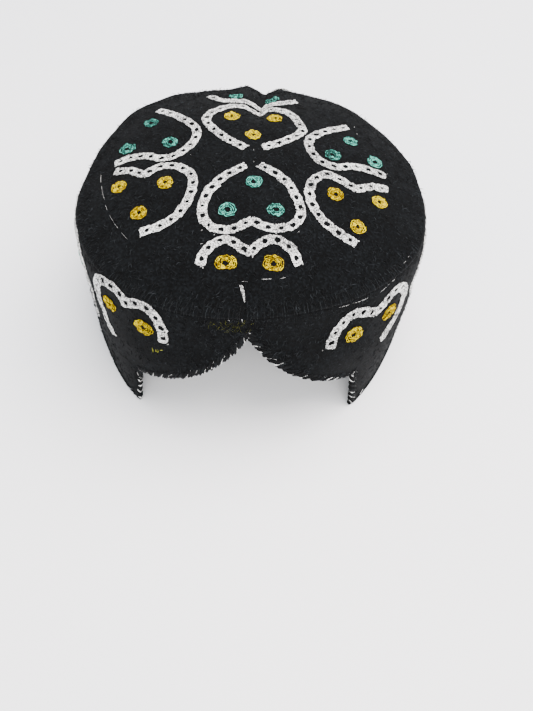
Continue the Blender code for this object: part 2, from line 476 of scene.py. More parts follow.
def mesh_from(name: str, points: Array, faces: Array, corners: Array | None = None,
              strands: Array | None = None) -> bpy.types.Object:
    """Make a smooth mesh object from points in millimetres.

    Args:
        name: The piece's name.
        points: One row of x, y, z for each vertex.
        faces: Rows of four vertex numbers; a triangle repeats its last one.
        corners: Thread coordinates of each face's four corners, if it is thread.
        strands: A number from 0 to 1 for each vertex, the same along one thread.

    Returns:
        The linked object.
    """
    triangle = faces[:, 2] == faces[:, 3]
    totals = np.where(triangle, 3, 4)
    starts = np.cumsum(totals) - totals
    keep = np.ones(faces.shape, bool)
    keep[triangle, 3] = False
    mesh = bpy.data.meshes.new(name)
    mesh.vertices.add(len(points))
    mesh.vertices.foreach_set("co", (points * MM).astype(np.float32).ravel())
    mesh.loops.add(int(totals.sum()))
    mesh.loops.foreach_set("vertex_index", faces[keep].astype(np.int32))
    mesh.polygons.add(len(faces))
    mesh.polygons.foreach_set("loop_start", starts.astype(np.int32))
    if corners is not None:
        layer = mesh.uv_layers.new(name="thread")
        layer.data.foreach_set("uv", corners[keep].astype(np.float32).ravel())
    if strands is not None:
        tints = mesh.attributes.new("strand", "FLOAT", "POINT")
        tints.data.foreach_set("value", strands.astype(np.float32))
    mesh.update(calc_edges=True)
    mesh.validate()
    mesh.shade_smooth()
    made = bpy.data.objects.new(name, mesh)
    bpy.context.scene.collection.objects.link(made)
    return made


class ThreadWork:
    """Gathers laid threads, as closed tubes, into one mesh."""

    def __init__(self, sides: int) -> None:
        """Start with no threads.

        Args:
            sides: Sides of each tube.
        """
        self.sides = sides
        self.points: list[Array] = []
        self.faces: list[Array] = []
        self.corners: list[Array] = []
        self.strands: list[Array] = []
        self.rng = np.random.default_rng(sides)
        self.count = 0

    def lay(self, paths: Array, reference: Array, radius: Array | float) -> None:
        """Add threads of the same number of points.

        Args:
            paths: Thread, point and x, y, z in millimetres.
            reference: Directions that the threads run across, such as the ground's normals.
            radius: Radius of the thread, for all of it or for each point.
        """
        threads, length, _ = paths.shape
        sides = self.sides
        tangent = unit(np.gradient(paths, axis=1))
        side = unit(np.cross(tangent, np.broadcast_to(reference, paths.shape)))
        up = np.cross(side, tangent)
        turn = 2.0 * np.pi * np.arange(sides) / sides
        spoke = side[:, :, None] * np.cos(turn)[:, None] + up[:, :, None] * np.sin(turn)[:, None]
        reach = np.broadcast_to(radius, (threads, length))
        rings = paths[:, :, None] + spoke * reach[:, :, None, None]
        beyond = reach[:, [0, -1]] * np.array([-0.5, 0.5])
        ends = paths[:, [0, -1]] + tangent[:, [0, -1]] * beyond[..., None]
        points = np.concatenate([rings.reshape(threads, -1, 3), ends], axis=1)
        numbers = np.arange(length * sides).reshape(length, sides)
        block = length * sides + 2
        tips = tip_faces(numbers[0], block - 2, under=True), tip_faces(numbers[-1], block - 1)
        one = np.concatenate([ring_faces(numbers[:-1], numbers[1:]), *tips])
        offsets = self.count + np.arange(threads)[:, None, None] * block
        self.faces.append((one[None] + offsets).reshape(-1, 4))
        self.points.append(points.reshape(-1, 3))
        self.corners.append(self._coordinates(paths))
        self.strands.append(np.repeat(self.rng.random(threads), block))
        self.count += threads * block

    def lay_on(self, ground: Ground, u: Array, v: Array, lift: Array, radius: Array | float) -> None:
        """Add threads that lie on a face of the cap, at a lift off it for each of their points."""
        self.lay(ground.points(u, v, lift), ground.normals(u, v), radius)

    def _coordinates(self, paths: Array) -> Array:
        """Corner coordinates of the tubes' faces: length along and share around.

        Args:
            paths: Thread, point and x, y, z in millimetres.

        Returns:
            Two numbers for each corner of each face.
        """
        threads, length, _ = paths.shape
        sides = self.sides
        gaps = np.linalg.norm(np.diff(paths, axis=1), axis=-1)
        along = np.concatenate([np.zeros((threads, 1)), np.cumsum(gaps, axis=1)], axis=1)
        around = np.arange(sides) / sides
        start, stop, left, right = np.broadcast_arrays(along[:, :-1, None], along[:, 1:, None], around,
                                                       around + 1.0 / sides)
        walls = np.stack([start, left, start, right, stop, right, stop, left], axis=-1)
        walls = walls.reshape(threads, -1, 4, 2)
        tips = np.zeros((threads, 2 * sides, 4, 2))
        tips[:, :sides, :, 0] = along[:, :1, None]
        tips[:, sides:, :, 0] = along[:, -1:, None]
        return np.concatenate([walls, tips], axis=1).reshape(-1, 4, 2)

    def piece(self, name: str) -> bpy.types.Object:
        """Make one object of all the threads laid so far."""
        return mesh_from(name, np.concatenate(self.points), np.concatenate(self.faces),
                         np.concatenate(self.corners), np.concatenate(self.strands))


def linear_colour(sheet_hex: str) -> tuple[float, float, float, float]:
    """Turn an sRGB hex colour into the linear values that shaders take.

    Args:
        sheet_hex: The colour, as a hash sign and six hex digits.

    Returns:
        Red, green, blue and 1.
    """
    channels = [int(sheet_hex[start:start + 2], 16) / 255.0 for start in (1, 3, 5)]
    linear = [c / 12.92 if c <= 0.04045 else ((c + 0.055) / 1.055) ** 2.4 for c in channels]
    return (*linear, 1.0)


def add_node(tree: bpy.types.NodeTree, kind: str, settings: dict | None = None,
             links: dict | None = None) -> bpy.types.Node:
    """Add a shader node, set its properties and sockets, and link its inputs.

    Args:
        tree: The material's or world's node tree.
        kind: The node's type name.
        settings: Property names or input names, with their values.
        links: Input names, with the output sockets that feed them.

    Returns:
        The new node.
    """
    node = tree.nodes.new(kind)
    for name, value in (settings or {}).items():
        if isinstance(name, str) and name not in node.inputs:
            setattr(node, name, value)
        else:
            node.inputs[name].default_value = value
    for name, output in (links or {}).items():
        tree.links.new(output, node.inputs[name])
    return node


def colour_ramp(tree: bpy.types.NodeTree, factor: bpy.types.NodeSocket,
                stops: list[tuple[float, str]]) -> bpy.types.NodeSocket:
    """A ramp from a factor through sRGB hex colours, given as position and colour.

    Args:
        tree: The material's node tree.
        factor: The socket that runs along the ramp.
        stops: The positions and colours.

    Returns:
        The socket of the colour.
    """
    ramp = add_node(tree, "ShaderNodeValToRGB", links={"Fac": factor})
    elements = ramp.color_ramp.elements
    while len(elements) < len(stops):
        elements.new(0.5)
    for element, (position, colour) in zip(elements, stops):
        element.position = position
        element.color = linear_colour(colour)
    return ramp.outputs["Color"]


@dataclass(frozen=True)
class Finish:
    """A real material: the colours that its pattern runs through, its relief and its gloss."""

    name: str
    dark: str
    middle: str
    light: str
    stops: tuple = (0.0, 0.5, 1.0)
    relief_mm: float = 0.0
    relief_strength: float = 0.0
    roughness: float = 0.8
    specular: float = 0.1
    sheen: float = 0.0
    sheen_roughness: float = 0.5

    def pattern(self, tree: bpy.types.NodeTree) -> tuple:
        """The socket of the tone, from dark to light, and the relief's height or None.

        Args:
            tree: The material's node tree.

        Returns:
            The two sockets.
        """
        raise NotImplementedError

    def material(self) -> bpy.types.Material:
        """Build the material from its pattern.

        Returns:
            The material.
        """
        made = bpy.data.materials.new(self.name)
        made.use_nodes = True
        tree = made.node_tree
        shader = tree.nodes["Principled BSDF"]
        tone, height = self.pattern(tree)
        colour = colour_ramp(tree, tone, list(zip(self.stops, (self.dark, self.middle, self.light))))
        tree.links.new(colour, shader.inputs["Base Color"])
        if height:
            relief = add_node(tree, "ShaderNodeBump",
                              {"Strength": self.relief_strength, "Distance": self.relief_mm * MM},
                              {"Height": height})
            tree.links.new(relief.outputs["Normal"], shader.inputs["Normal"])
        gloss = {"Roughness": self.roughness, "Specular IOR Level": self.specular,
                 "Sheen Weight": self.sheen, "Sheen Roughness": self.sheen_roughness}
        for socket, value in gloss.items():
            shader.inputs[socket].default_value = value
        return made


@dataclass(frozen=True)
class NeedledFelt(Finish):
    """Wool felt, needled and fulled: a matt black that a loose nap greys in places."""

    stops: tuple = (0.38, 0.50, 0.62)
    tuft_mm: float = 1.15
    cloud_mm: float = 14.0
    cloud_share: float = 0.22
    relief_mm: float = 0.35
    relief_strength: float = 0.7
    roughness: float = 0.96
    specular: float = 0.08
    sheen: float = 0.01

    def pattern(self, tree: bpy.types.NodeTree) -> tuple:
        """Small tufts, which are also the relief, in wide and faint clouds.

        Args:
            tree: The material's node tree.

        Returns:
            The tone's socket and the relief's.
        """
        place = add_node(tree, "ShaderNodeTexCoord").outputs["Object"]
        tufts = add_node(tree, "ShaderNodeTexNoise",
                         {"Scale": 1.0 / (self.tuft_mm * MM), "Detail": 3.0, "Roughness": 0.65},
                         {"Vector": place})
        clouds = add_node(tree, "ShaderNodeTexNoise",
                          {"Scale": 1.0 / (self.cloud_mm * MM), "Detail": 2.0, "Roughness": 0.6},
                          {"Vector": place})
        mixed = add_node(tree, "ShaderNodeMath", {"operation": "MULTIPLY", 1: self.cloud_share},
                         {0: clouds.outputs["Fac"]})
        total = add_node(tree, "ShaderNodeMath", {"operation": "MULTIPLY_ADD", 1: 1.0 - self.cloud_share},
                         {0: tufts.outputs["Fac"], 2: mixed.outputs["Value"]})
        return total.outputs["Value"], tufts.outputs["Fac"]


@dataclass(frozen=True)
class LooseWool(Finish):
    """The felt's loose fibres: each has its own grey, from black to a dusty slate."""

    stops: tuple = (0.12, 0.30, 0.58)
    mottle_mm: float = 3.0
    roughness: float = 0.85
    specular: float = 0.15

    def pattern(self, tree: bpy.types.NodeTree) -> tuple:
        """The tint that each fibre carries, mottled from place to place.

        Args:
            tree: The material's node tree.

        Returns:
            The tone's socket, and None for the relief.
        """
        strand = add_node(tree, "ShaderNodeAttribute", {"attribute_name": "strand"})
        place = add_node(tree, "ShaderNodeTexCoord").outputs["Object"]
        mottle = add_node(tree, "ShaderNodeTexNoise", {"Scale": 1.0 / (self.mottle_mm * MM), "Detail": 2.0},
                          {"Vector": place})
        total = add_node(tree, "ShaderNodeMath", {"operation": "MULTIPLY"},
                         {0: strand.outputs["Fac"], 1: mottle.outputs["Fac"]})
        return total.outputs["Value"], None


@dataclass(frozen=True)
class TwistedThread(Finish):
    """Plied sewing or embroidery thread: short slanting highlights of its twist."""

    stops: tuple = (0.46, 0.65, 0.84)
    twist_mm: float = 0.9
    patch_mm: float = 2.4
    contrast: float = 1.0
    strand_share: float = 0.3
    relief_mm: float = 0.08
    relief_strength: float = 0.6
    roughness: float = 0.62
    specular: float = 0.4
    sheen: float = 0.2
    sheen_roughness: float = 0.4

    def pattern(self, tree: bpy.types.NodeTree) -> tuple:
        """Patches of tone that differ from thread to thread, and the twist's slanting ridges. In the white
        and rayon finishes the patches also hold painted shade, and in the rayons painted highlights.

        Args:
            tree: The material's node tree.

        Returns:
            The tone's socket and the relief's.
        """
        place = add_node(tree, "ShaderNodeTexCoord").outputs["Object"]
        patches = add_node(tree, "ShaderNodeTexNoise",
                           {"Scale": 1.0 / (self.patch_mm * MM), "Detail": 2.0, "Roughness": 0.6},
                           {"Vector": place})
        strand = add_node(tree, "ShaderNodeAttribute", {"attribute_name": "strand"})
        spread = add_node(tree, "ShaderNodeMath",
                          {"operation": "MULTIPLY_ADD", 1: self.contrast, 2: 0.5 - 0.5 * self.contrast},
                          {0: patches.outputs["Fac"]})
        total = add_node(tree, "ShaderNodeMath", {"operation": "MULTIPLY_ADD", 1: self.strand_share},
                         {0: strand.outputs["Fac"], 2: spread.outputs["Value"]})
        along = add_node(tree, "ShaderNodeUVMap", {"uv_map": "thread"})
        parts = add_node(tree, "ShaderNodeSeparateXYZ", links={"Vector": along.outputs["UV"]})
        slanted = add_node(tree, "ShaderNodeMath", {"operation": "MULTIPLY_ADD", 1: 1.0 / self.twist_mm},
                           {0: parts.outputs["X"], 2: parts.outputs["Y"]})
        turned = add_node(tree, "ShaderNodeMath", {"operation": "MULTIPLY", 1: 2.0 * math.pi},
                          {0: slanted.outputs["Value"]})
        ply = add_node(tree, "ShaderNodeMath", {"operation": "SINE"}, {0: turned.outputs["Value"]})
        return total.outputs["Value"], ply.outputs["Value"]


class Wardrobe:
    """The cap's finishes, each made once and shared by the pieces that wear it."""

    def __init__(self) -> None:
        """Make the first finish of every slot, and the second of those that have one."""
        first = {
            # Black wool felt takes in nearly all light, so its nap alone shows as grey.
            Slot.FELT: NeedledFelt("wool_felt_black", "#020202", "#040506", "#0d0f11"),
            # Black cotton yarn is a little glossier than the felt under it.
            Slot.BLACK: TwistedThread("cotton_yarn_black", "#020203", "#060708", "#121416", sheen=0.01,
                                      roughness=0.75, specular=0.1),
            # Bleached cotton gives the near-white of the looped outlines. Its dark grey specks are painted
            # shade, for the small holes and gaps between its threads.
            Slot.WHITE: TwistedThread("bleached_cotton_white", "#454545", "#d0cecb", "#f8f8f5",
                                      patch_mm=0.6, contrast=3.0),
            # Dyed rayon yellow. Its ochre patches are painted shade, for the gaps between its rounds, and
            # its palest patches are painted highlights.
            Slot.YELLOW: TwistedThread("rayon_yellow", "#7a5e00", "#b8a000", "#dec600", sheen=0.0,
                                       patch_mm=0.9, contrast=1.7, roughness=0.8, specular=0.0),
            # The same rayon in a blue green. Its pale patches are painted highlights, and its dark patches
            # are painted shade in the gaps between its rounds.
            Slot.TEAL: TwistedThread("rayon_teal", "#123430", "#318878", "#62c4b0", sheen=0.0,
                                     patch_mm=0.9, contrast=1.9, roughness=0.6, specular=0.2),
        }
        second = {
            # Loose wool carries its own greys.
            Slot.FELT: LooseWool("wool_nap_black", "#040405", "#0a0c0d", "#25282b"),
            # The seam's black cotton runs to lighter greys than the edge's yarn, so its stitches show a
            # little lighter than the felt.
            Slot.BLACK: TwistedThread("seam_cotton_black", "#040405", "#0b0c0e", "#23272a", sheen=0.02,
                                      roughness=0.7, specular=0.15),
            # The loose ends and fuzz of the yellow rayon are a darker, olive yellow.
            Slot.YELLOW: TwistedThread("rayon_yellow_olive", "#34360a", "#66681c", "#9c9c40", sheen=0.0,
                                       patch_mm=0.9, contrast=1.6, roughness=0.8, specular=0.0),
        }
        self._first, self._second = ({slot: finish.material() for slot, finish in finishes.items()}
                                     for finishes in (first, second))

    def dress(self, piece: bpy.types.Object, slot: Slot, replaced: str | None = None,
              second: bool = False) -> None:
        """Give a piece its finish and its place in the frame.

        Args:
            piece: The finished piece.
            slot: The material slot that it takes its finish from.
            replaced: The solid that the piece stands for, if it stands for one.
            second: Whether the piece wears the slot's second finish.
        """
        piece.data.materials.append((self._second if second else self._first)[slot])
        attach(piece, "root")
        if replaced:
            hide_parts(replaced)
        log.info("%s: %d faces", piece.name, len(piece.data.polygons))


@dataclass
class FeltCloth:
    """The felt of the crown and of the band, as two thick cloths that meet at the seam."""

    crown_rings: int = 54
    crown_columns: int = 240
    corner: float = 1.1
    corner_steps: int = 4
    under_inset: float = 0.3
    seam_lap: float = 0.15
    scallop_crowding: float = 1.5
    thinning_reach: float = 9.0
    band_columns: int = 300
    upper_rows: int = 26
    lower_rows: int = 14
    scallop_columns: int = 40

    def crown(self) -> bpy.types.Object:
        """Make the crown: a domed plate of felt with a soft upper corner.

        Returns:
            The piece.
        """
        degrees = np.arange(self.crown_columns) * 360.0 / self.crown_columns
        full = np.hypot(*SHAPE.seam_xy(degrees))
        rings = []
        shares = np.linspace(0.0, 1.0, self.crown_rings + 1)[1:]
        for share in shares:
            inset = 1.0 - self.corner / full
            rings.append(self._ring(degrees, share * inset, 0.0))
        for step in range(1, self.corner_steps + 1):
            turn = 0.5 * np.pi * step / self.corner_steps
            inset = 1.0 - self.corner * (1.0 - math.sin(turn)) / full
            rings.append(self._ring(degrees, inset, -self.corner * (1.0 - math.cos(turn))))
        rings.append(self._ring(degrees, 1.0 - self.under_inset / full, -SHAPE.thin))
        for share in shares[-3::-3]:
            rings.append(self._ring(degrees, share * (1.0 - self.corner / full), -SHAPE.wall))
        middle = SHAPE.seam_xy(0.0, 0.0)
        top = SHAPE.crown_height(*middle)
        tips = SHAPE.framed(*middle, np.array([top, top - SHAPE.wall]))
        count = len(rings) * self.crown_columns
        numbers = np.arange(count).reshape(len(rings), -1)
        faces = [ring_faces(numbers[:-1], numbers[1:]), tip_faces(numbers[0], count, under=True),
                 tip_faces(numbers[-1], count + 1)]
        return mesh_from("crown_felt", np.concatenate([*rings, tips]), np.concatenate(faces))

    def _ring(self, degrees: Array, share: Array, drop: float) -> Array:
        """One ring of the crown at a share of the way to the seam, lowered by drop."""
        x, y = SHAPE.seam_xy(degrees, share)
        return SHAPE.framed(x, y, SHAPE.crown_height(x, y) + drop)

    def band(self) -> bpy.types.Object:
        """Make the side band: one thick wall whose front edge follows the cut-out.

        Returns:
            The piece.
        """
        side_run = np.linspace(SHAPE.step_run, SHAPE.round_run - SHAPE.step_run, self.band_columns)
        way = np.linspace(-1.0, 1.0, 2 * self.scallop_columns + 1)[1:-1]
        front_run = SHAPE.round_run + np.sign(way) * np.abs(way) ** self.scallop_crowding * SHAPE.step_run
        run = np.concatenate([side_run, front_run])
        beside = len(side_run)
        off = front_run - SHAPE.round_run
        foot = np.full(len(run), SHAPE.step_top)
        foot[beside:] = SHAPE.scallop_height(off / SHAPE.per_degree)
        degrees = run / SHAPE.per_degree + SHAPE.front_angle
        top = SHAPE.band_top(degrees) + self.seam_lap
        climb = np.linspace(0.0, 1.0, self.upper_rows + 1)[:, None]
        upper = foot + (top - foot) * climb
        climb = np.linspace(0.0, 1.0, self.lower_rows + 1)[:-1, None]
        lower = (SHAPE.foot + (SHAPE.step_top - SHAPE.foot) * climb) * np.ones(beside)
        points = []
        faces = []
        edges = []
        count = 0
        for lift in (0.0, -SHAPE.wall):
            thinned = lift * (1.0 - self._thinning(upper - foot) * (np.arange(len(run)) >= beside))
            upper_points = BAND.points(np.broadcast_to(run, upper.shape), upper, thinned)
            lower_run = np.broadcast_to(side_run, lower.shape)
            thinned = lift * (1.0 - self._thinning(lower - SHAPE.foot))
            lower_points = BAND.points(lower_run, lower, thinned)
            points += [upper_points.reshape(-1, 3), lower_points.reshape(-1, 3)]
            high = count + np.arange(upper.size).reshape(upper.shape)
            low = count + upper.size + np.arange(lower.size).reshape(lower.shape)
            count += upper.size + lower.size
            low = np.concatenate([low, high[:1, :beside]])
            skin = np.concatenate([ring_faces(high[:-1], high[1:]), grid_faces(low)])
            faces.append(skin if lift == 0.0 else skin[:, ::-1])
            foot_line = np.concatenate([low[0], low[1:, -1], high[0, beside:], low[1:, 0][::-1]])
            edges.append((foot_line, high[-1]))
        faces.append(ring_faces(edges[1][0], edges[0][0]))
        faces.append(ring_faces(edges[0][1], edges[1][1]))
        return mesh_from("band_felt", np.concatenate(points), np.concatenate(faces))

    def _thinning(self, above: Array) -> Array:
        """Share of its thickness that the felt loses at a height above its cut edge."""
        return (1.0 - SHAPE.edge_wall / SHAPE.wall) * (1.0 - ease(above / self.thinning_reach))


class CutLine:
    """The felt's whole lower edge, in runs and heights, with its outward directions.

    The line starts at one step's foot, goes round the back, and comes back over the
    other step and the two scallops.
    """

    def __init__(self, spacing: float = 0.4, soften: float = 1.2) -> None:
        """Work out the line and its directions.

        Args:
            spacing: Distance between its points.
            soften: Half the length over which its directions are averaged.
        """
        step = SHAPE.step_run
        turn = SHAPE.round_run
        way = np.linspace(-1.0, 1.0, 241)
        off = np.sign(way) * np.abs(way) ** 1.6 * step
        scallops = np.stack([turn + off, SHAPE.scallop_height(off / SHAPE.per_degree)], axis=-1)
        corners = [np.array([[step, SHAPE.foot], [turn - step, SHAPE.foot]]), scallops,
                   np.array([[turn + step, SHAPE.foot]])]
        line = np.concatenate(corners)
        length = np.concatenate([[0.0], np.cumsum(np.hypot(*np.diff(line, axis=0).T))])
        self.length = float(length[-1])
        count = int(self.length / spacing)
        self.at = np.linspace(0.0, self.length, count, endpoint=False)
        self.line = np.stack([np.interp(self.at, length, values) for values in line.T], axis=-1)
        ahead = np.roll(self.line, -1, axis=0) - self.line
        ahead[-1] = ahead[-2]
        reach = max(1, int(soften / spacing))
        kernel = np.ones(2 * reach + 1) / (2 * reach + 1)
        wrapped = np.concatenate([ahead[-reach:], ahead, ahead[:reach]])
        smooth = np.stack([np.convolve(wrapped[:, axis], kernel, "valid") for axis in (0, 1)], axis=-1)
        tangent = unit(smooth)
        self.out = np.stack([tangent[:, 1], -tangent[:, 0]], axis=-1)

    def points(self, along: Array, away: Array, proud: Array) -> Array:
        """Points about the edge.

        Args:
            along: Length along the edge.
            away: Distance away from the felt, in the plane of the wall.
            proud: Distance out from the middle of the wall's thickness.

        Returns:
            The points in the cap's frame.
        """
        where = np.mod(along, self.length)
        wrap = np.concatenate([self.at, [self.length]])
        run = np.interp(where, wrap, np.append(self.line[:, 0], self.line[0, 0] + SHAPE.round_run))
        height = np.interp(where, wrap, np.append(self.line[:, 1], self.line[0, 1]))
        out_run = np.interp(where, self.at, self.out[:, 0])
        out_height = np.interp(where, self.at, self.out[:, 1])
        # The cap's weight presses the stitches under it flat on the floor.
        height = np.maximum(height + away * out_height, SHAPE.pressed)
        return BAND.points(run + away * out_run, height, proud - 0.5 * SHAPE.edge_wall)


@dataclass(frozen=True)
class Whip:
    """One colour of whip stitch: its yarn, and how far its stitches stray and reach."""

    piece: str
    slot: Slot
    radius: float
    # number of the stitch's point, share of the radius there
    fullness: tuple
    stray: float
    swell: float
    swell_in_group: float
    least_up: float
    least_slant: float
    seed: int


BLACK_WHIP = Whip("overcast_black", Slot.BLACK, radius=0.4, fullness=((0, 1.0), (12, 1.0)), stray=0.25,
                  swell=0.62, swell_in_group=0.36, least_up=0.7, least_slant=0.5, seed=11)
# The white yarn is thin on the outer face and fat where it turns over the edge.
WHITE_WHIP = Whip("overcast_white", Slot.WHITE, radius=0.34,
                  fullness=((0, 0.2), (3, 0.34), (4, 1.0), (7, 1.0), (9, 0.5), (12, 0.3)), stray=0.6,
                  swell=0.82, swell_in_group=0.0, least_up=0.25, least_slant=0.7, seed=12)


@dataclass
class OvercastEdge:
    """The overcast edge: a yarn core along the felt's cut edge and whip stitches over it."""

    pitch: float = 1.1
    per_group: int = 4
    group_gap: float = 0.6
    core_away: float = 1.05
    core_high: float = 0.75
    core_wide: float = 1.05
    core_step: float = 1.2
    core_sides: int = 10
    reach_up: float = 1.5
    wrap_away: float = 2.3
    wrap_proud: float = 1.2
    size: tuple = (0.8, 1.08)
    most_up: float = 1.1
    slant: float = 3.2
    most_slant: float = 2.0
    section: tuple = (
        # away from the felt, proud of the wall's middle
        (-1.25, 0.62), (-0.95, 0.88), (-0.45, 0.98), (0.15, 1.0), (0.62, 0.86), (0.96, 0.45), (1.0, 0.0),
        (0.96, -0.45), (0.62, -0.86), (0.15, -1.0), (-0.45, -0.98), (-0.95, -0.88), (-1.25, -0.62),
    )
    leaning: tuple = ((0, 0.65), (5, -0.35), (12, -0.5))
    cut: CutLine = field(default_factory=CutLine)

    def core(self) -> bpy.types.Object:
        """Make the yarn core, a flattened cord in a closed ring.

        Returns:
            The piece.
        """
        count = int(self.cut.length / self.core_step)
        along = np.arange(count) * self.cut.length / count
        turn = 2.0 * np.pi * np.arange(self.core_sides) / self.core_sides
        away = self.core_away + self.core_high * np.sin(turn)
        points = self.cut.points(*np.broadcast_arrays(along[:, None], away, self.core_wide * np.cos(turn)))
        numbers = np.arange(points.size // 3).reshape(count, -1)
        faces = ring_faces(numbers, np.roll(numbers, -1, axis=0))
        return mesh_from("edge_core", points.reshape(-1, 3), faces)

    def stitches(self, whip: Whip) -> bpy.types.Object:
        """Make the stitches of one colour. The black come in groups with a white one between them.

        Args:
            whip: The colour's own sizes.

        Returns:
            The piece.
        """
        rng = np.random.default_rng(whip.seed)
        step = self.per_group + self.group_gap
        groups = int(self.cut.length / (self.pitch * step))
        section = np.array(self.section)
        number = np.arange(len(section))
        lean = np.interp(number, *np.transpose(self.leaning))
        radius = whip.radius * np.interp(number, *np.transpose(whip.fullness))
        work = ThreadWork(5)
        places = [0.0] if whip.slot is Slot.WHITE else (np.arange(self.per_group) + 0.8) / step
        for place in places:
            start = (np.arange(groups) + place) * (self.cut.length / groups)
            start = start + rng.normal(0.0, whip.stray, groups)
            swell = whip.swell + whip.swell_in_group * math.sin(math.pi * place)
            size = swell * rng.uniform(*self.size, groups)
            up = self.reach_up * rng.uniform(whip.least_up, self.most_up, groups)
            slant = self.slant * rng.uniform(whip.least_slant, self.most_slant, groups)
            away = np.where(section[:, 0] < 0.0, section[:, 0] * up[:, None],
                            section[:, 0] * self.wrap_away * size[:, None])
            proud = np.broadcast_to(section[:, 1] * self.wrap_proud, away.shape)
            paths = self.cut.points(start[:, None] + lean * slant[:, None], away, proud)
            still = 0.0 * start
            ahead, behind = (self.cut.points(start + side, still, still) for side in (0.5, -0.5))
            work.lay(paths, unit(ahead - behind)[:, None], radius)
        return work.piece(whip.piece)

    def dress(self, wardrobe: Wardrobe) -> None:
        """Build the edge's pieces and give them their finishes.

        Args:
            wardrobe: The cap's finishes.
        """
        wardrobe.dress(self.core(), Slot.BLACK, "rim_overcast")
        for whip in (BLACK_WHIP, WHITE_WHIP):
            wardrobe.dress(self.stitches(whip), whip.slot)


class Route:
    """A smooth line on a ground through a few places, measured by its length."""

    def __init__(self, places: tuple, per_gap: int = 12, widen: float = 1.0) -> None:
        """Work out the line.

        Args:
            places: The places that the line goes through, in the ground's coordinates.
            per_gap: Points worked out between each two places.
            widen: How many times the usual distance stitches lie from the line.
        """
        self.widen = widen
        given = np.array(places, float)
        first = 2.0 * given[0] - given[1]
        last = 2.0 * given[-1] - given[-2]
        knots = np.concatenate([[first], given, [last]])
        way = (np.arange(per_gap) / per_gap)[:, None]
        parts = []
        for before, here, there, after in zip(knots, knots[1:], knots[2:], knots[3:]):
            cubic = 2.0 * here + (there - before) * way
            cubic = cubic + (2.0 * before - 5.0 * here + 4.0 * there - after) * way**2
            parts.append(0.5 * (cubic + (3.0 * here - before - 3.0 * there + after) * way**3))
        parts.append(given[-1:])
        self.line = np.concatenate(parts)
        gaps = np.hypot(*np.diff(self.line, axis=0).T)
        self.at = np.concatenate([[0.0], np.cumsum(gaps)])
        self.length = float(self.at[-1])
        self.ahead = unit(np.gradient(self.line, axis=0))

    def place(self, along: Array, across: Array) -> tuple[Array, Array]:
        """Ground coordinates at a length along the line and a distance to its left.

        Args:
            along: Lengths along the line.
            across: Distances to its left.

        Returns:
            The first and the second coordinates.
        """
        held = np.clip(along, 0.0, self.length)
        u = np.interp(held, self.at, self.line[:, 0])
        v = np.interp(held, self.at, self.line[:, 1])
        ahead_u = np.interp(held, self.at, self.ahead[:, 0])
        ahead_v = np.interp(held, self.at, self.ahead[:, 1])
        beyond = along - held
        aside = self.widen * across
        return u + ahead_u * beyond - ahead_v * aside, v + ahead_v * beyond + ahead_u * aside


def small_loops(rng: np.random.Generator, count: int, half_turns: float,
                radius: tuple) -> tuple[Array, Array]:
    """Angles along small round loops, each from its own start, and the loops' radii."""
    angle = np.linspace(0.0, half_turns * np.pi, 9) + rng.uniform(0.0, 2.0 * np.pi, (count, 1))
    return angle, rng.uniform(*radius, (count, 1))


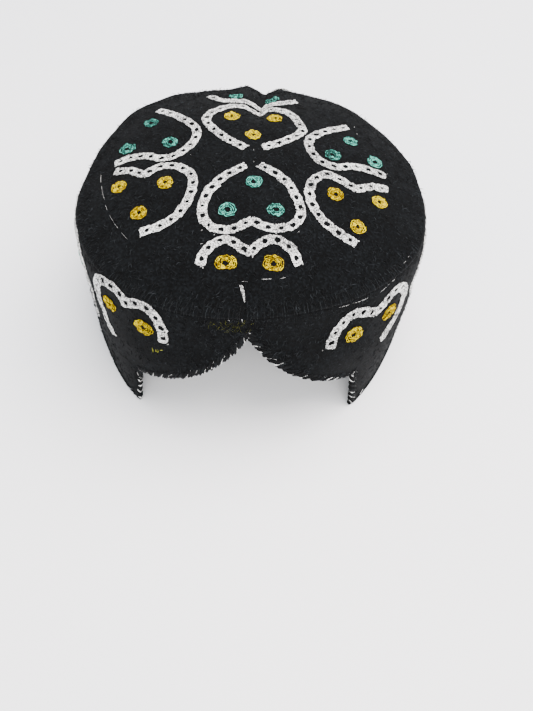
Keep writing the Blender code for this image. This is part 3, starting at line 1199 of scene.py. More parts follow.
@dataclass
class LoopedBraid:
    """The white outlines: coils of cotton laid end to end, each round a small hole.

    Small loops over the coils and a few threads along both sides run the coils together
    into one strip. The pairs of numbers are the least and the most.
    """

    pitch: float = 5.8
    hole_half_length: float = 1.15
    hole_half_width: float = 1.25
    hole_spread: tuple = (0.75, 1.25)
    half_length: float = 3.4
    half_width: float = 2.1
    size_spread: tuple = (0.94, 1.06)
    raggedness: float = 0.045
    tilt_degrees: float = 6.0
    turns: float = 5.0
    per_turn: int = 12
    squareness: float = 4.5
    thread_radius: float = 0.22
    low: float = 0.2
    high: float = 0.6
    loops_per_coil: int = 6
    loop_radius: tuple = (0.4, 0.85)
    loop_half_turns: float = 2.6
    loop_stretch: float = 1.3
    loop_lift: tuple = (0.35, 0.75)
    loop_thread: float = 0.17
    loops_reach: float = 1.5
    hole_clearance: float = 1.8
    beside_hole: tuple = (1.4, 1.75)
    side_rows: tuple = (1.45, 1.82)
    side_step: float = 0.75
    side_stray: float = 0.16
    end_overrun: float = 0.4
    end_ripple: float = 0.25
    seed: int = 5

    def __post_init__(self) -> None:
        """Start the one stream of small differences between the coils."""
        self.rng = np.random.default_rng(self.seed)

    def lay(self, coils: ThreadWork, loops: ThreadWork, ground: Ground, route: Route) -> None:
        """Lay the strip from one end of a route to the other.

        Args:
            coils: The thread work that takes the coils.
            loops: The thread work that takes the loops and the side threads.
            ground: The face that they lie on.
            route: Their centre line.
        """
        count = max(1, round(route.length / self.pitch))
        middle = (np.arange(count) + 0.5) * route.length / count
        self._coils(coils, ground, route, middle)
        self._loops(loops, ground, route, middle)
        self._sides(loops, ground, route)

    def _coils(self, work: ThreadWork, ground: Ground, route: Route, middle: Array) -> None:
        """Lay one coil about each of the middles.

        Args:
            work: The thread work that takes them.
            ground: The face that they lie on.
            route: Their centre line.
            middle: Lengths along it, one for each coil.
        """
        rng = self.rng
        count = len(middle)
        points = int(self.turns * self.per_turn) + 1
        way = np.linspace(0.0, 1.0, points)
        angle = 2.0 * np.pi * self.turns * way + rng.uniform(0.0, 2.0 * np.pi, (count, 1))
        power = 1.0 + (2.0 / self.squareness - 1.0) * way**0.6
        box_x = np.sign(np.cos(angle)) * np.abs(np.cos(angle)) ** power
        box_y = np.sign(np.sin(angle)) * np.abs(np.sin(angle)) ** power
        size = rng.uniform(*self.size_spread, (count, 1))
        size = size + rng.normal(0.0, self.raggedness, (count, points))
        hole = rng.uniform(*self.hole_spread, (count, 1))
        half_length = self.hole_half_length * hole * (1.0 - way) + self.half_length * way
        half_width = self.hole_half_width * hole * (1.0 - way) + self.half_width * way
        x = box_x * half_length * size + 0.2 * np.sin(3.3 * angle)
        y = box_y * half_width * size + 0.14 * np.sin(5.2 * angle + 1.0)
        tilt = rng.normal(0.0, math.radians(self.tilt_degrees), (count, 1))
        along = middle[:, None] + x * np.cos(tilt) - y * np.sin(tilt)
        across = x * np.sin(tilt) + y * np.cos(tilt)
        over = self.end_overrun + self.end_ripple * np.sin(7.0 * angle)
        along = np.clip(along, -over, route.length + over)
        u, v = route.place(along, across)
        wobble = 0.5 + 0.5 * np.sin(angle * 1.37 + rng.uniform(0.0, 6.0, (count, 1)))
        lift = self.low + (self.high - self.low) * wobble * (1.0 - 0.5 * way)
        work.lay_on(ground, u, v, lift, self.thread_radius)

    def _loops(self, work: ThreadWork, ground: Ground, route: Route, middle: Array) -> None:
        """Lay small loops over the coils, clear of their holes.

        Args:
            work: The thread work that takes them.
            ground: The face that they lie on.
            route: The coils' centre line.
            middle: The coils' middles along it.
        """
        rng = self.rng
        count = len(middle) * self.loops_per_coil
        along = rng.uniform(0.3, route.length - 0.3, (count, 1))
        across = rng.uniform(-self.loops_reach, self.loops_reach, (count, 1))
        near = np.abs(along - middle).min(axis=1, keepdims=True) < self.hole_clearance
        across = np.where(near, np.sign(across) * rng.uniform(*self.beside_hole, (count, 1)), across)
        angle, size = small_loops(rng, count, self.loop_half_turns, self.loop_radius)
        flat = np.where(near, 0.45, rng.uniform(0.5, 1.0, (count, 1)))
        along = along + self.loop_stretch * size * np.cos(angle)
        u, v = route.place(along, across + flat * size * np.sin(angle))
        lift = rng.uniform(*self.loop_lift, (count, 1)) + 0.12 * np.sin(2.0 * angle)
        work.lay_on(ground, u, v, lift, self.loop_thread)

    def _sides(self, work: ThreadWork, ground: Ground, route: Route) -> None:
        """Lay the threads that run along both sides of the strip.

        Args:
            work: The thread work that takes them.
            ground: The face that they lie on.
            route: The strip's centre line.
        """
        rng = self.rng
        over = self.end_overrun
        along = np.linspace(-over, route.length + over, int(route.length / self.side_step))
        rows = np.array([side * row for side in (-1.0, 1.0) for row in self.side_rows])[:, None]
        stray = rng.normal(0.0, self.side_stray, (len(rows), len(along)))
        u, v = route.place(along + 0.2 * rows, rows + 0.2 * np.sin(along * 2.9 + 7.0 * rows) + stray)
        lift = 0.3 + 0.2 * np.sin(along * 2.3 + 3.0 * rows)
        work.lay_on(ground, u, v, lift, self.loop_thread)


# Each heart is two lines of places, its halves, that meet at the cusp.
CROWN_HEARTS = {
    "front_open": (
        ((-22.2, -59.8), (-19.0, -52.5), (-11.4, -48.1), (-3.8, -51.8), (-0.3, -54.4)),
        ((-0.3, -54.4), (3.5, -50.0), (10.1, -47.1), (17.6, -51.3), (21.1, -57.8))),
    "front": (
        ((-3.5, -5.2), (-13.0, -12.8), (-19.5, -21.5), (-22.2, -30.3), (-21.0, -37.4), (-16.4, -42.2),
         (-8.5, -42.6), (-0.2, -37.9)),
        ((-0.2, -37.9), (8.7, -41.7), (17.6, -40.0), (22.1, -32.7), (19.9, -23.2), (14.5, -13.3),
         (3.4, -4.8))),
    "back": (
        ((-3.8, 7.3), (-13.9, 15.3), (-21.6, 25.4), (-22.9, 32.0), (-19.7, 39.2), (-9.9, 45.6),
         (-1.8, 42.9), (2.8, 42.1)),
        ((2.8, 42.1), (6.4, 46.1), (11.3, 43.0), (15.9, 41.1), (19.8, 37.2), (22.1, 31.2), (23.8, 22.9),
         (14.8, 13.3), (4.8, 7.8))),
    "back_open": (
        ((-22.7, 59.1), (-16.2, 53.1), (-8.9, 52.9), (-1.8, 51.6), (3.9, 51.7)),
        ((3.9, 51.7), (7.5, 52.4), (11.6, 50.9), (16.7, 53.3), (22.0, 56.8))),
    "left_front": (
        ((-64.3, -2.4), (-57.3, -3.9), (-50.2, -9.0)),
        ((-50.2, -9.0), (-43.1, -4.2), (-36.5, -4.5), (-29.2, -9.2), (-26.9, -17.0), (-30.2, -30.5),
         (-38.6, -39.1), (-48.7, -42.5))),
    "left_back": (
        ((-65.0, 3.8), (-57.4, 5.7), (-50.6, 5.2)),
        ((-50.6, 5.2), (-40.2, 1.7), (-31.2, 7.9), (-27.1, 19.9), (-34.2, 31.6), (-47.8, 44.5))),
    "right_front": (
        ((63.7, -8.9), (55.7, -9.6), (48.2, -13.6)),
        ((48.2, -13.6), (41.2, -9.5), (34.2, -6.9), (27.5, -13.2), (26.3, -23.7), (31.1, -34.2),
         (39.2, -40.8), (46.8, -44.4))),
    "right_back": (
        ((47.2, 34.9), (37.4, 27.7), (28.0, 18.7), (27.2, 9.0), (32.2, 1.1), (39.3, -1.0), (46.7, 1.6)),
        ((46.7, 1.6), (54.1, 1.7), (63.5, 0.1))),
}

CROWN_EYELETS = {
    Slot.TEAL: ((0.6, -15.3), (-10.7, -32.3), (10.9, -31.6), (-9.4, 60.1), (9.6, 58.4), (-60.5, 13.5),
                (-39.6, 12.9), (-50.5, 31.8), (38.0, 7.5), (58.7, 8.2), (47.9, 21.6)),
    Slot.YELLOW: ((0.1, 17.1), (-10.6, 33.4), (10.3, 33.1), (-10.9, -58.9), (9.8, -58.5), (-61.3, -13.9),
                  (-39.6, -15.6), (-50.4, -32.0), (38.1, -18.9), (59.1, -18.5), (47.9, -35.4)),
}

PATTERN_EDGE = 61.2


@dataclass(frozen=True)
class BandHeart:
    """One long heart of the band, by its middle and how it differs from the pattern."""

    middle: float
    rise: float = 0.0
    slot: Slot = Slot.YELLOW


FRONT_BAND_HEARTS = {
    "band_left": (
        ((-39.2, 60.4), (-40.0, 68.3), (-42.4, 74.2), (-47.0, 78.6), (-53.0, 78.3), (-58.0, 75.6),
         (-61.0, 74.6)),
        ((-59.6, 77.0), (-62.5, 78.8), (-66.5, 79.6), (-71.5, 79.0), (-76.0, 76.6), (-79.2, 71.0),
         (-80.2, 63.0), (-80.2, 55.5), (-78.2, 49.5), (-75.4, 45.8), (-71.6, 42.0))),
    "band_right": (
        ((39.8, 57.2), (41.5, 63.5), (45.2, 68.6), (49.8, 72.2), (55.2, 72.4), (60.5, 69.8), (65.2, 67.2)),
        ((65.2, 67.2), (69.0, 68.8), (72.8, 71.6), (77.6, 73.2), (83.2, 70.8), (87.0, 65.0),
         (87.8, 58.5), (86.4, 53.0), (83.2, 48.8), (78.8, 45.8), (72.8, 42.4))),
    "band_next_left": (
        ((-117.0, 72.0), (-112.0, 76.8), (-106.0, 78.6), (-100.0, 76.4), (-96.2, 70.0), (-94.6, 62.0),
         (-93.0, 51.5), (-93.4, 40.0), (-95.6, 29.5)),
        ((-117.0, 72.0), (-121.6, 76.2), (-127.5, 78.6), (-133.4, 76.4), (-137.8, 70.0), (-139.0, 62.0),
         (-137.5, 54.5), (-134.0, 48.0), (-129.0, 42.0))),
}

FRONT_BAND_EYELETS = ((-70.0, 65.5), (-49.5, 65.3), (53.0, 60.0), (75.6, 60.0))

HALF_HEART = (
    # distance from the heart's middle, height
    (0.0, 71.5), (4.6, 76.2), (10.5, 78.6), (16.4, 76.4), (20.8, 70.0), (22.0, 62.0), (20.5, 54.5),
    (17.0, 48.0), (12.0, 42.5), (6.5, 37.5),
)

NEXT_LEFT_EYELETS = ((-128.5, 62.5), (-106.0, 62.5))

HIDDEN_BAND_HEARTS = (
    BandHeart(124.0, rise=-3.0, slot=Slot.TEAL),
    BandHeart(-179.0),
    BandHeart(185.0, rise=-2.0),
    BandHeart(-241.0, slot=Slot.TEAL),
    BandHeart(246.0, slot=Slot.TEAL),
)


@dataclass
class Eyelets:
    """Round eyelets: a few loose rounds of shiny thread about a small hole."""

    outer: float = 3.85
    inner: float = 1.25
    yellow_inner: float = 1.0
    radius: float = 0.19
    per_round: int = 24
    teal_rounds: float = 3.1
    yellow_rounds: float = 4.1
    teal_loops: int = 5
    yellow_loops: int = 12
    loop_radius: tuple = (0.35, 0.7)
    loop_half_turns: float = 2.5
    loop_lift: tuple = (0.45, 0.8)
    loop_inset: float = 0.55
    size_spread: tuple = (0.95, 1.05)
    raggedness: float = 0.12
    lift: float = 0.36
    front_stretch: float = 1.27
    seed: int = 8

    def lay(self, ground: Ground, places: tuple, slot: Slot, edge: float, growth: tuple) -> ThreadWork:
        """Lay eyelets of one colour.

        Args:
            ground: The face that they lie on.
            places: Their middles.
            slot: Their thread.
            edge: How far to the front and to the back the pattern reaches.
            growth: How many times the usual size they are, across and up.

        Returns:
            The thread work.
        """
        rng = np.random.default_rng(self.seed + len(places) + 10 * (slot is Slot.TEAL))
        teal = slot is Slot.TEAL
        rounds = self.teal_rounds if teal else self.yellow_rounds
        points = int(rounds * self.per_round)
        way = np.linspace(0.0, 1.0, points)
        middle = np.array(places, float)
        count = len(places)
        wide = growth[0] * np.where(middle[:, 1:] < self.outer - edge, self.front_stretch, 1.0)
        angle = 2.0 * np.pi * rounds * way + rng.uniform(0.0, 2.0 * np.pi, (count, 1))
        size = rng.uniform(*self.size_spread, (count, 1))
        wobble = rng.uniform(0.0, 2.0 * np.pi, (count, 1))
        inner = self.inner if teal else self.yellow_inner
        radius = (inner + (self.outer - inner) * way) * size
        ragged = rng.normal(0.0, self.raggedness, (count, points))
        radius = radius + 0.13 * np.sin(7.3 * angle + wobble) + ragged
        x = radius * wide * np.cos(angle)
        y = radius * growth[1] * (1.0 + 0.05 * np.sin(wobble)) * np.sin(angle)
        lift = self.lift + 0.2 * np.sin(7.1 * angle + wobble) + rng.normal(0.0, 0.05, (count, points))
        work = ThreadWork(5)
        self._lay_flat(work, ground, middle[:, :1] + x, middle[:, 1:] + y, lift, edge)
        small = np.repeat(np.arange(count), self.teal_loops if teal else self.yellow_loops)
        turn = rng.uniform(0.0, 2.0 * np.pi, (len(small), 1))
        away = rng.uniform(inner + self.loop_inset, self.outer - self.loop_inset, (len(small), 1))
        away = away * size[small]
        angle, size = small_loops(rng, len(small), self.loop_half_turns, self.loop_radius)
        x = away * wide[small] * np.cos(turn) + size * np.cos(angle)
        y = away * growth[1] * np.sin(turn) + size * np.sin(angle)
        lift = rng.uniform(*self.loop_lift, (len(small), 1)) + 0.0 * angle
        self._lay_flat(work, ground, middle[small, :1] + x, middle[small, 1:] + y, lift, edge)
        return work

    def _lay_flat(self, work: ThreadWork, ground: Ground, u: Array, v: Array, lift: Array,
                  edge: float) -> None:
        """Lay threads on a ground, held back to where the pattern was cut off.

        Args:
            work: The thread work that takes them.
            ground: The face that they lie on.
            u: Their first coordinates.
            v: Their second coordinates.
            lift: Their lift off the face.
            edge: How far to the front and to the back the pattern reaches.
        """
        held = edge + 0.25 * np.sin(5.0 * u)
        v = np.clip(v, -held, held)
        work.lay_on(ground, u, v, lift, self.radius)


@dataclass
class Embroidery:
    """All the coloured and white needlework of the crown and of the band."""

    band_widen: float = 1.24
    band_growth: tuple = (1.3, 1.1)
    eyelet_aside: float = 11.5
    eyelet_height: float = 60.5
    braid: LoopedBraid = field(default_factory=LoopedBraid)
    eyelets: Eyelets = field(default_factory=Eyelets)

    def halves(self, heart: BandHeart) -> tuple:
        """The two lines of a hidden band heart, as the pattern has them."""
        return tuple(tuple((heart.middle + side * off, height + heart.rise) for off, height in HALF_HEART)
                     for side in (-1.0, 1.0))

    def strips(self, wardrobe: Wardrobe, ground: Ground, lines: tuple, name: str, widen: float) -> None:
        """Lay the looped strips of one ground along their lines.

        Args:
            wardrobe: The cap's finishes.
            ground: The face that the strips lie on.
            lines: The places that each strip goes through.
            name: The ground's name in the pieces' names.
            widen: How many times the usual width the strips have.
        """
        coils = ThreadWork(5)
        loops = ThreadWork(4)
        for line in lines:
            self.braid.lay(coils, loops, ground, Route(line, widen=widen))
        wardrobe.dress(coils.piece(f"{name}_hearts"), Slot.WHITE)
        wardrobe.dress(loops.piece(f"{name}_heart_loops"), Slot.WHITE)

    def dress(self, wardrobe: Wardrobe) -> None:
        """Build the hearts and eyelets and give them their finishes.

        Args:
            wardrobe: The cap's finishes.
        """
        self.strips(wardrobe, CROWN, sum(CROWN_HEARTS.values(), ()), "crown", 1.0)
        on_band = sum(FRONT_BAND_HEARTS.values(), ())
        for heart in HIDDEN_BAND_HEARTS:
            on_band += self.halves(heart)
        self.strips(wardrobe, BAND, on_band, "band", self.band_widen)
        for slot, places in CROWN_EYELETS.items():
            work = self.eyelets.lay(CROWN, places, slot, PATTERN_EDGE, (1.0, 1.0))
            wardrobe.dress(work.piece(f"crown_eyelets_{slot.name.lower()}"), slot)
        for slot in (Slot.YELLOW, Slot.TEAL):
            places = tuple((heart.middle + side * self.eyelet_aside, self.eyelet_height + heart.rise)
                           for heart in HIDDEN_BAND_HEARTS if heart.slot is slot for side in (-1.0, 1.0))
            places += FRONT_BAND_EYELETS if slot is Slot.YELLOW else NEXT_LEFT_EYELETS
            work = self.eyelets.lay(BAND, places, slot, SHAPE.seam_height, self.band_growth)
            wardrobe.dress(work.piece(f"band_eyelets_{slot.name.lower()}"), slot)


@dataclass
class SeamStitches:
    """The black stitches that hold the crown to the band: short spokes sunk in the felt."""

    pitch: float = 1.35
    inward: float = 4.2
    radius: float = 0.1
    missing: float = 0.2
    reach: tuple = (0.4, 1.15)
    thickness: tuple = (0.7, 1.15)
    sunk: tuple = (-0.2, 0.02, 0.1, 0.08, 0.0)
    way: tuple = (1.0, 0.75, 0.5, 0.25, 0.05)
    edge_drop: float = 0.7
    tail: float = 1.1
    seed: int = 21

    def dress(self, wardrobe: Wardrobe) -> None:
        """Build the ring of stitches and give it its finish.

        Args:
            wardrobe: The cap's finishes.
        """
        rng = np.random.default_rng(self.seed)
        count = int(2.0 * math.pi * SHAPE.seam_half_width / self.pitch)
        degrees = np.arange(count) * 360.0 / count + rng.normal(0.0, 0.25, count)
        degrees = degrees[rng.uniform(0.0, 1.0, count) > self.missing]
        count = len(degrees)
        full = np.hypot(*SHAPE.seam_xy(degrees))[:, None]
        inward = self.inward * rng.uniform(*self.reach, (count, 1))
        way = np.array(self.way)
        lift = np.array(self.sunk) + rng.normal(0.0, 0.04, (count, len(way)))
        slant = rng.normal(0.0, 0.5, (count, 1)) * (way - 0.5)
        x, y = SHAPE.seam_xy(degrees[:, None] + slant, 1.0 - (inward * way + self.edge_drop) / full)
        over = CROWN.points(*SHAPE.centred(x, y), lift)
        edge = SHAPE.seam_xy(degrees, 1.0)
        down = SHAPE.framed(*edge, SHAPE.crown_height(*edge) - self.edge_drop)
        under = down - np.array([0.0, 0.0, self.tail])
        paths = np.concatenate([over, down[:, None], under[:, None]], axis=1)
        angle = np.radians(degrees)
        around = np.stack([-np.sin(angle), np.cos(angle), 0.0 * angle], axis=-1)
        work = ThreadWork(5)
        work.lay(paths, around[:, None], self.radius * rng.uniform(*self.thickness, (count, 1)))
        wardrobe.dress(work.piece("seam_stitches"), Slot.BLACK, second=True)


@dataclass
class LooseThreads:
    """Guide threads, ends and fuzz that the maker left on the cap."""

    white_radius: float = 0.06
    white_spread: tuple = (0.6, 1.1)
    yellow_radius: float = 0.2
    seed: int = 31
    white_on_crown: tuple = (
        ((5.0, -65.4), (7.2, -65.2), (9.2, -64.9)),
        ((12.6, -64.6), (15.4, -63.8)),
        ((-71.9, -0.8), (-71.6, -4.0), (-71.2, -7.0)),
        ((-70.6, -9.5), (-68.9, -16.3), (-67.8, -19.5)),
        ((-66.9, -23.5), (-65.6, -27.0)),
        ((-64.2, -30.0), (-61.9, -34.4), (-59.5, -38.2)),
        ((-58.0, -40.4), (-54.8, -44.6)),
        ((-3.6, -66.4), (-2.4, -66.0), (-1.0, -66.3)),
        ((0.1, 6.6), (0.5, 5.6)),
        ((0.2, -1.8), (0.6, -2.8)),
        ((69.3, -48.2), (70.3, -46.9)),
        ((71.6, -44.8), (72.2, -43.8)),
        ((-22.3, -43.5), (-21.5, -43.0)),
        ((-22.2, -50.0), (-21.0, -49.8)),
        ((-16.4, -45.8), (-15.8, -45.2)),
        ((20.6, -42.8), (21.3, -42.2)),
        ((50.6, 37.6), (51.4, 37.0)),
        ((51.8, 31.0), (52.4, 30.2)),
        ((-29.4, 3.2), (-28.6, 2.8)),
    )
    white_on_band: tuple = (
        ((43.5, 79.8), (46.5, 79.6), (49.5, 79.4)),
        ((51.5, 79.3), (55.5, 79.0), (59.5, 78.9)),
        ((67.0, 78.4), (70.0, 79.2), (72.5, 79.8)),
        ((74.5, 80.2), (77.0, 80.6)),
        ((-38.2, 55.6), (-36.6, 56.8)),
        ((-34.6, 58.6), (-32.9, 60.6)),
        ((35.6, 56.8), (36.4, 57.2)),
        ((38.0, 57.6), (39.0, 56.8)),
        ((-9.6, 80.6), (-8.6, 80.4)),
        ((-3.2, 81.4), (-2.9, 79.6)),
        ((1.2, 80.6), (1.6, 80.4)),
    )
    yellow_on_band: tuple = (
        ((-45.2, 53.8), (-44.7, 52.8), (-44.7, 51.4)),
        ((-43.2, 54.0), (-43.1, 53.0), (-42.2, 52.9), (-41.8, 53.9), (-42.3, 54.7)),
        ((-41.0, 54.8), (-40.2, 55.2), (-39.4, 55.8)),
    )
    fuzz_radius: float = 0.018
    fuzz_count: int = 40
    fuzz_length: float = 2.8
    fuzz_lean: float = 1.3
    fuzz_lean_spread: float = 0.6
    fuzz_bend: float = 0.4
    fuzz_run: tuple = (-19.0, 0.5)
    fuzz_height: tuple = (73.0, 78.5)
    tassel: tuple = ((-3.9, -67.9), (-3.3, -70.0), (-2.7, -72.0), (-2.1, -74.6))
    tassel_strands: int = 5
    # how wide the tassel is spread at each of its places
    tassel_spread: tuple = (1.1, 1.3, 0.9, 0.3)

    def strand(self, work: ThreadWork, ground: Ground, places: tuple, radius: float, lift: float) -> None:
        """Lay one loose thread through a few places of a ground.

        Args:
            work: The thread work that takes it.
            ground: The face that it lies on.
            places: The places, in the ground's coordinates.
            radius: The thread's radius.
            lift: Its lift off the face, but for its two ends, which sink in.
        """
        route = Route(places)
        count = max(5, int(route.length / 0.8))
        u, v = route.place(np.linspace(0.0, route.length, count), np.zeros(count))
        height = np.full(count, lift)
        height[[0, -1]] = -0.05
        work.lay_on(ground, u[None], v[None], height[None], radius)

    def dress(self, wardrobe: Wardrobe) -> None:
        """Build the loose threads and give them their finishes.

        Args:
            wardrobe: The cap's finishes.
        """
        rng = np.random.default_rng(self.seed)
        white = ThreadWork(5)
        for ground, lines in ((CROWN, self.white_on_crown), (BAND, self.white_on_band)):
            for places in lines:
                radius = self.white_radius * rng.uniform(*self.white_spread)
                self.strand(white, ground, places, radius, 0.1)
        tassel = np.array(self.tassel)
        for index in range(self.tassel_strands):
            spread = (index / (self.tassel_strands - 1) - 0.5) * np.array(self.tassel_spread)
            places = tuple((x + off, y) for (x, y), off in zip(tassel, spread))
            self.strand(white, CROWN, places, 1.5 * self.white_radius, rng.uniform(0.25, 0.5))
        wardrobe.dress(white.piece("loose_threads_white"), Slot.WHITE)
        yellow = ThreadWork(5)
        for places in self.yellow_on_band:
            self.strand(yellow, BAND, places, self.yellow_radius, 0.2)
        run = rng.uniform(*self.fuzz_run, self.fuzz_count)
        height = rng.uniform(*self.fuzz_height, self.fuzz_count)
        angle = rng.normal(self.fuzz_lean, self.fuzz_lean_spread, self.fuzz_count)
        for root, lean in zip(np.stack([run, height], axis=-1), angle):
            reach = self.fuzz_length * np.array([math.cos(lean), math.sin(lean)])
            bent = root + 0.5 * reach + np.array([rng.normal(0.0, self.fuzz_bend), 0.0])
            self.strand(yellow, BAND, (root, bent, root + reach), self.fuzz_radius, 0.4)
        wardrobe.dress(yellow.piece("loose_threads_yellow"), Slot.YELLOW, second=True)


@dataclass
class Nap:
    """The felt's nap: short curved fibres that lie on its face and stand off its outline."""

    crown_fibres: int = 8200
    band_fibres: int = 8800
    seam_fibres: int = 1500
    margin: float = 8.5
    short: float = 0.8
    long: float = 2.6
    thin: float = 0.06
    thick: float = 0.19
    stand: float = 0.6
    curl: float = 0.9
    free_share: float = 0.12
    free_stand: float = 1.3
    seam_share: float = 0.1
    seam_reach: float = 3.0
    seam_spread: float = 0.3
    crown_share: float = 0.975
    seed: int = 41

    def fibres(self, rng: np.random.Generator, ground: Ground, u: Array, v: Array,
               heading: Array) -> ThreadWork:
        """Lay fibres that start at the given places.

        Args:
            rng: The stream of random draws.
            ground: The face that they lie on.
            u: First coordinates of their roots.
            v: Second coordinates of their roots.
            heading: Directions that they set out in, on the ground.

        Returns:
            The thread work.
        """
        count = len(u)
        way = np.array([0.0, 0.55, 1.0])
        length = rng.uniform(self.short, self.long, (count, 1))
        turn = heading[:, None] + rng.normal(0.0, self.curl, (count, 1)) * way
        x = u[:, None] + np.cos(turn) * length * way
        y = v[:, None] + np.sin(turn) * length * way
        stand = self.stand * rng.uniform(0.2, 1.0, (count, 1)) ** 1.5
        lift = stand * np.array([0.3, 1.0, 0.15])
        free = rng.uniform(0.0, 1.0, (count, 1)) < self.free_share
        lift = np.where(free, self.free_stand * way * rng.uniform(0.5, 1.0, (count, 1)), lift)
        radius = rng.uniform(self.thin, self.thick, (count, 1)) * np.array([1.0, 0.9, 0.3])
        work = ThreadWork(3)
        work.lay_on(ground, x, y, lift, radius)
        return work

    def dress(self, wardrobe: Wardrobe) -> None:
        """Build the nap of the crown and of the band and give it its finish.

        Args:
            wardrobe: The cap's finishes.
        """
        rng = np.random.default_rng(self.seed)
        inner = self.crown_fibres - self.seam_fibres
        share = np.sqrt(rng.uniform(0.0, 1.0, inner)) * self.crown_share
        margin = 1.0 - rng.uniform(0.6, self.margin, self.seam_fibres) / SHAPE.seam_half_width
        degrees = rng.uniform(0.0, 360.0, self.crown_fibres)
        u, v = SHAPE.seam_xy(degrees, np.concatenate([share, margin]))
        heading = rng.uniform(0.0, 2.0 * np.pi, self.crown_fibres)
        heading[inner:] = np.radians(degrees[inner:]) + rng.normal(0.0, self.seam_spread, self.seam_fibres)
        crown = self.fibres(rng, CROWN, *SHAPE.centred(u, v), heading)
        wardrobe.dress(crown.piece("crown_nap"), Slot.FELT, second=True)
        run = rng.uniform(0.0, SHAPE.round_run, self.band_fibres)
        foot = SHAPE.foot_at(run) + 1.5
        top = SHAPE.band_top(run / SHAPE.per_degree + SHAPE.front_angle) - 0.5
        climb = rng.uniform(0.0, 1.0, self.band_fibres)
        heading = rng.uniform(0.0, 2.0 * np.pi, self.band_fibres)
        height = foot + (top - foot) * climb
        seam = rng.uniform(0.0, 1.0, self.band_fibres) < self.seam_share
        height = np.where(seam, top - rng.uniform(0.0, self.seam_reach, self.band_fibres), height)
        down = -0.5 * np.pi + rng.normal(0.0, self.seam_spread, self.band_fibres)
        heading = np.where(seam, down, heading)
        band = self.fibres(rng, BAND, run, height, heading)
        wardrobe.dress(band.piece("band_nap"), Slot.FELT, second=True)


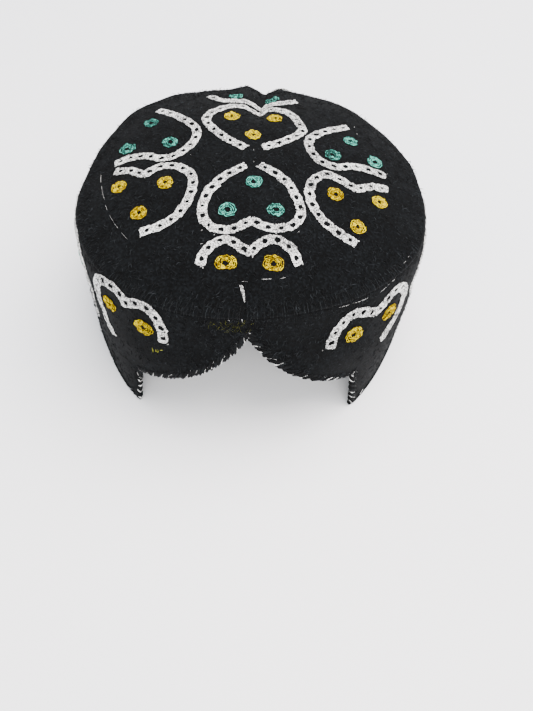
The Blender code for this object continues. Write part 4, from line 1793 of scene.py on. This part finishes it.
@dataclass
class Studio:
    """A pale floor, soft lights and the camera of the portrait."""

    floor_half: float = 4.0
    floor_level: float = 1400.0
    floor_rise: float = 0.00001
    camera_range: float = 395.6488
    camera_climb: float = 43.1323
    camera_yaw: float = -0.66412
    camera_roll: float = 2.14867
    focal_pixels: float = 800.0
    aim: tuple = (0.0, 0.0, 82.503)
    aim_pixel: tuple = (251.673, 185.197)
    sky_colour: str = "#e9edf2"
    sky_strength: float = 1.85

    def floor(self) -> None:
        """Make the pale floor as a grid that rises softly far behind the cap."""
        side = np.linspace(-self.floor_half, self.floor_half, 41) / MM
        x, y = np.meshgrid(side, side)
        far = np.clip(np.hypot(x, y) - self.floor_level, 0.0, None)
        points = np.stack([x, y, self.floor_rise * far**2], axis=-1).reshape(-1, 3)
        numbers = np.arange(len(points)).reshape(x.shape)
        made = mesh_from("floor", points, grid_faces(numbers))
        paper = bpy.data.materials.new("matt_paper")
        paper.use_nodes = True
        tree = paper.node_tree
        shader = tree.nodes["Principled BSDF"]
        place = add_node(tree, "ShaderNodeTexCoord").outputs["Object"]
        clouds = add_node(tree, "ShaderNodeTexNoise", {"Scale": 2.5, "Detail": 2.0}, {"Vector": place})
        colour = colour_ramp(tree, clouds.outputs["Fac"], [(0.35, "#f0f2f6"), (0.65, "#f6f5f6")])
        tree.links.new(colour, shader.inputs["Base Color"])
        shader.inputs["Roughness"].default_value = 0.9
        shader.inputs["Specular IOR Level"].default_value = 0.2
        made.data.materials.append(paper)

    def light(self, name: str, place: tuple, size: float, watts: float, colour: str) -> None:
        """Hang a square soft light that faces the cap.

        Args:
            name: The light's name.
            place: Where it hangs, in metres.
            size: Length of its side, in metres.
            watts: Its power.
            colour: Its sRGB hex colour.
        """
        lamp = bpy.data.lights.new(name, "AREA")
        lamp.shape = "SQUARE"
        lamp.size = size
        lamp.energy = watts
        lamp.color = linear_colour(colour)[:3]
        made = bpy.data.objects.new(name, lamp)
        made.location = place
        made.rotation_mode = "QUATERNION"
        made.rotation_quaternion = (Vector((0.0, 0.0, 0.06)) - Vector(place)).to_track_quat("-Z", "Y")
        bpy.context.scene.collection.objects.link(made)

    def world(self) -> None:
        """Fill the room with pale, even light."""
        room = bpy.data.worlds.new("pale_room")
        room.use_nodes = True
        sky = room.node_tree.nodes["Background"]
        sky.inputs["Color"].default_value = linear_colour(self.sky_colour)
        sky.inputs["Strength"].default_value = self.sky_strength
        bpy.context.scene.world = room

    def camera(self) -> None:
        """Place the camera so that the cap falls where the portrait has it."""
        climb = math.radians(self.camera_climb)
        yaw = math.radians(self.camera_yaw)
        level_back = math.cos(climb)
        back = Vector((math.sin(yaw) * level_back, -math.cos(yaw) * level_back, math.sin(climb)))
        aim = Vector(self.aim)
        forward = -back
        right = forward.cross(Vector((0.0, 0.0, 1.0))).normalized()
        down = forward.cross(right)
        level = Matrix((right, down, forward))
        across = self.aim_pixel[0] - PICTURE_WIDTH / 2
        below = self.aim_pixel[1] - PICTURE_HEIGHT / 2
        ray = Vector((across, below, self.focal_pixels)).normalized()
        turn_y = Matrix.Rotation(math.atan2(ray.x, ray.z), 3, "Y")
        turn_x = Matrix.Rotation(-math.atan2(ray.y, math.hypot(ray.x, ray.z)), 3, "X")
        roll = Matrix.Rotation(math.radians(self.camera_roll), 3, ray)
        turned = roll @ turn_y @ turn_x @ level
        lens = bpy.data.cameras.new("portrait")
        lens.sensor_width = 36.0
        lens.lens = self.focal_pixels * lens.sensor_width / PICTURE_HEIGHT
        lens.clip_start = 0.01
        lens.clip_end = 50.0
        made = bpy.data.objects.new("portrait", lens)
        axes = Matrix((turned[0], -turned[1], -turned[2])).transposed().to_4x4()
        place = aim + back * self.camera_range - Vector((*SHAPE.centre, 0.0))
        axes.translation = place * MM
        made.matrix_world = axes
        bpy.context.scene.collection.objects.link(made)
        bpy.context.scene.camera = made

    def build(self) -> None:
        """Set up the whole studio."""
        self.camera()
        self.floor()
        self.light("overhead", (0.45, 0.15, 1.25), 1.3, 56.0, "#fff8f6")
        self.light("front", (0.1, -1.1, 0.75), 1.0, 19.0, "#fffdfa")
        self.world()


def main() -> None:
    """Build the studio, then the cap from its cloth outwards."""
    logging.basicConfig(level=logging.INFO, format="%(name)s %(message)s")
    Studio().build()
    wardrobe = Wardrobe()
    cloth = FeltCloth()
    wardrobe.dress(cloth.crown(), Slot.FELT, "crown")
    wardrobe.dress(cloth.band(), Slot.FELT, "side_band")
    OvercastEdge().dress(wardrobe)
    SeamStitches().dress(wardrobe)
    Embroidery().dress(wardrobe)
    LooseThreads().dress(wardrobe)
    Nap().dress(wardrobe)


if __name__ == "__main__":
    main()
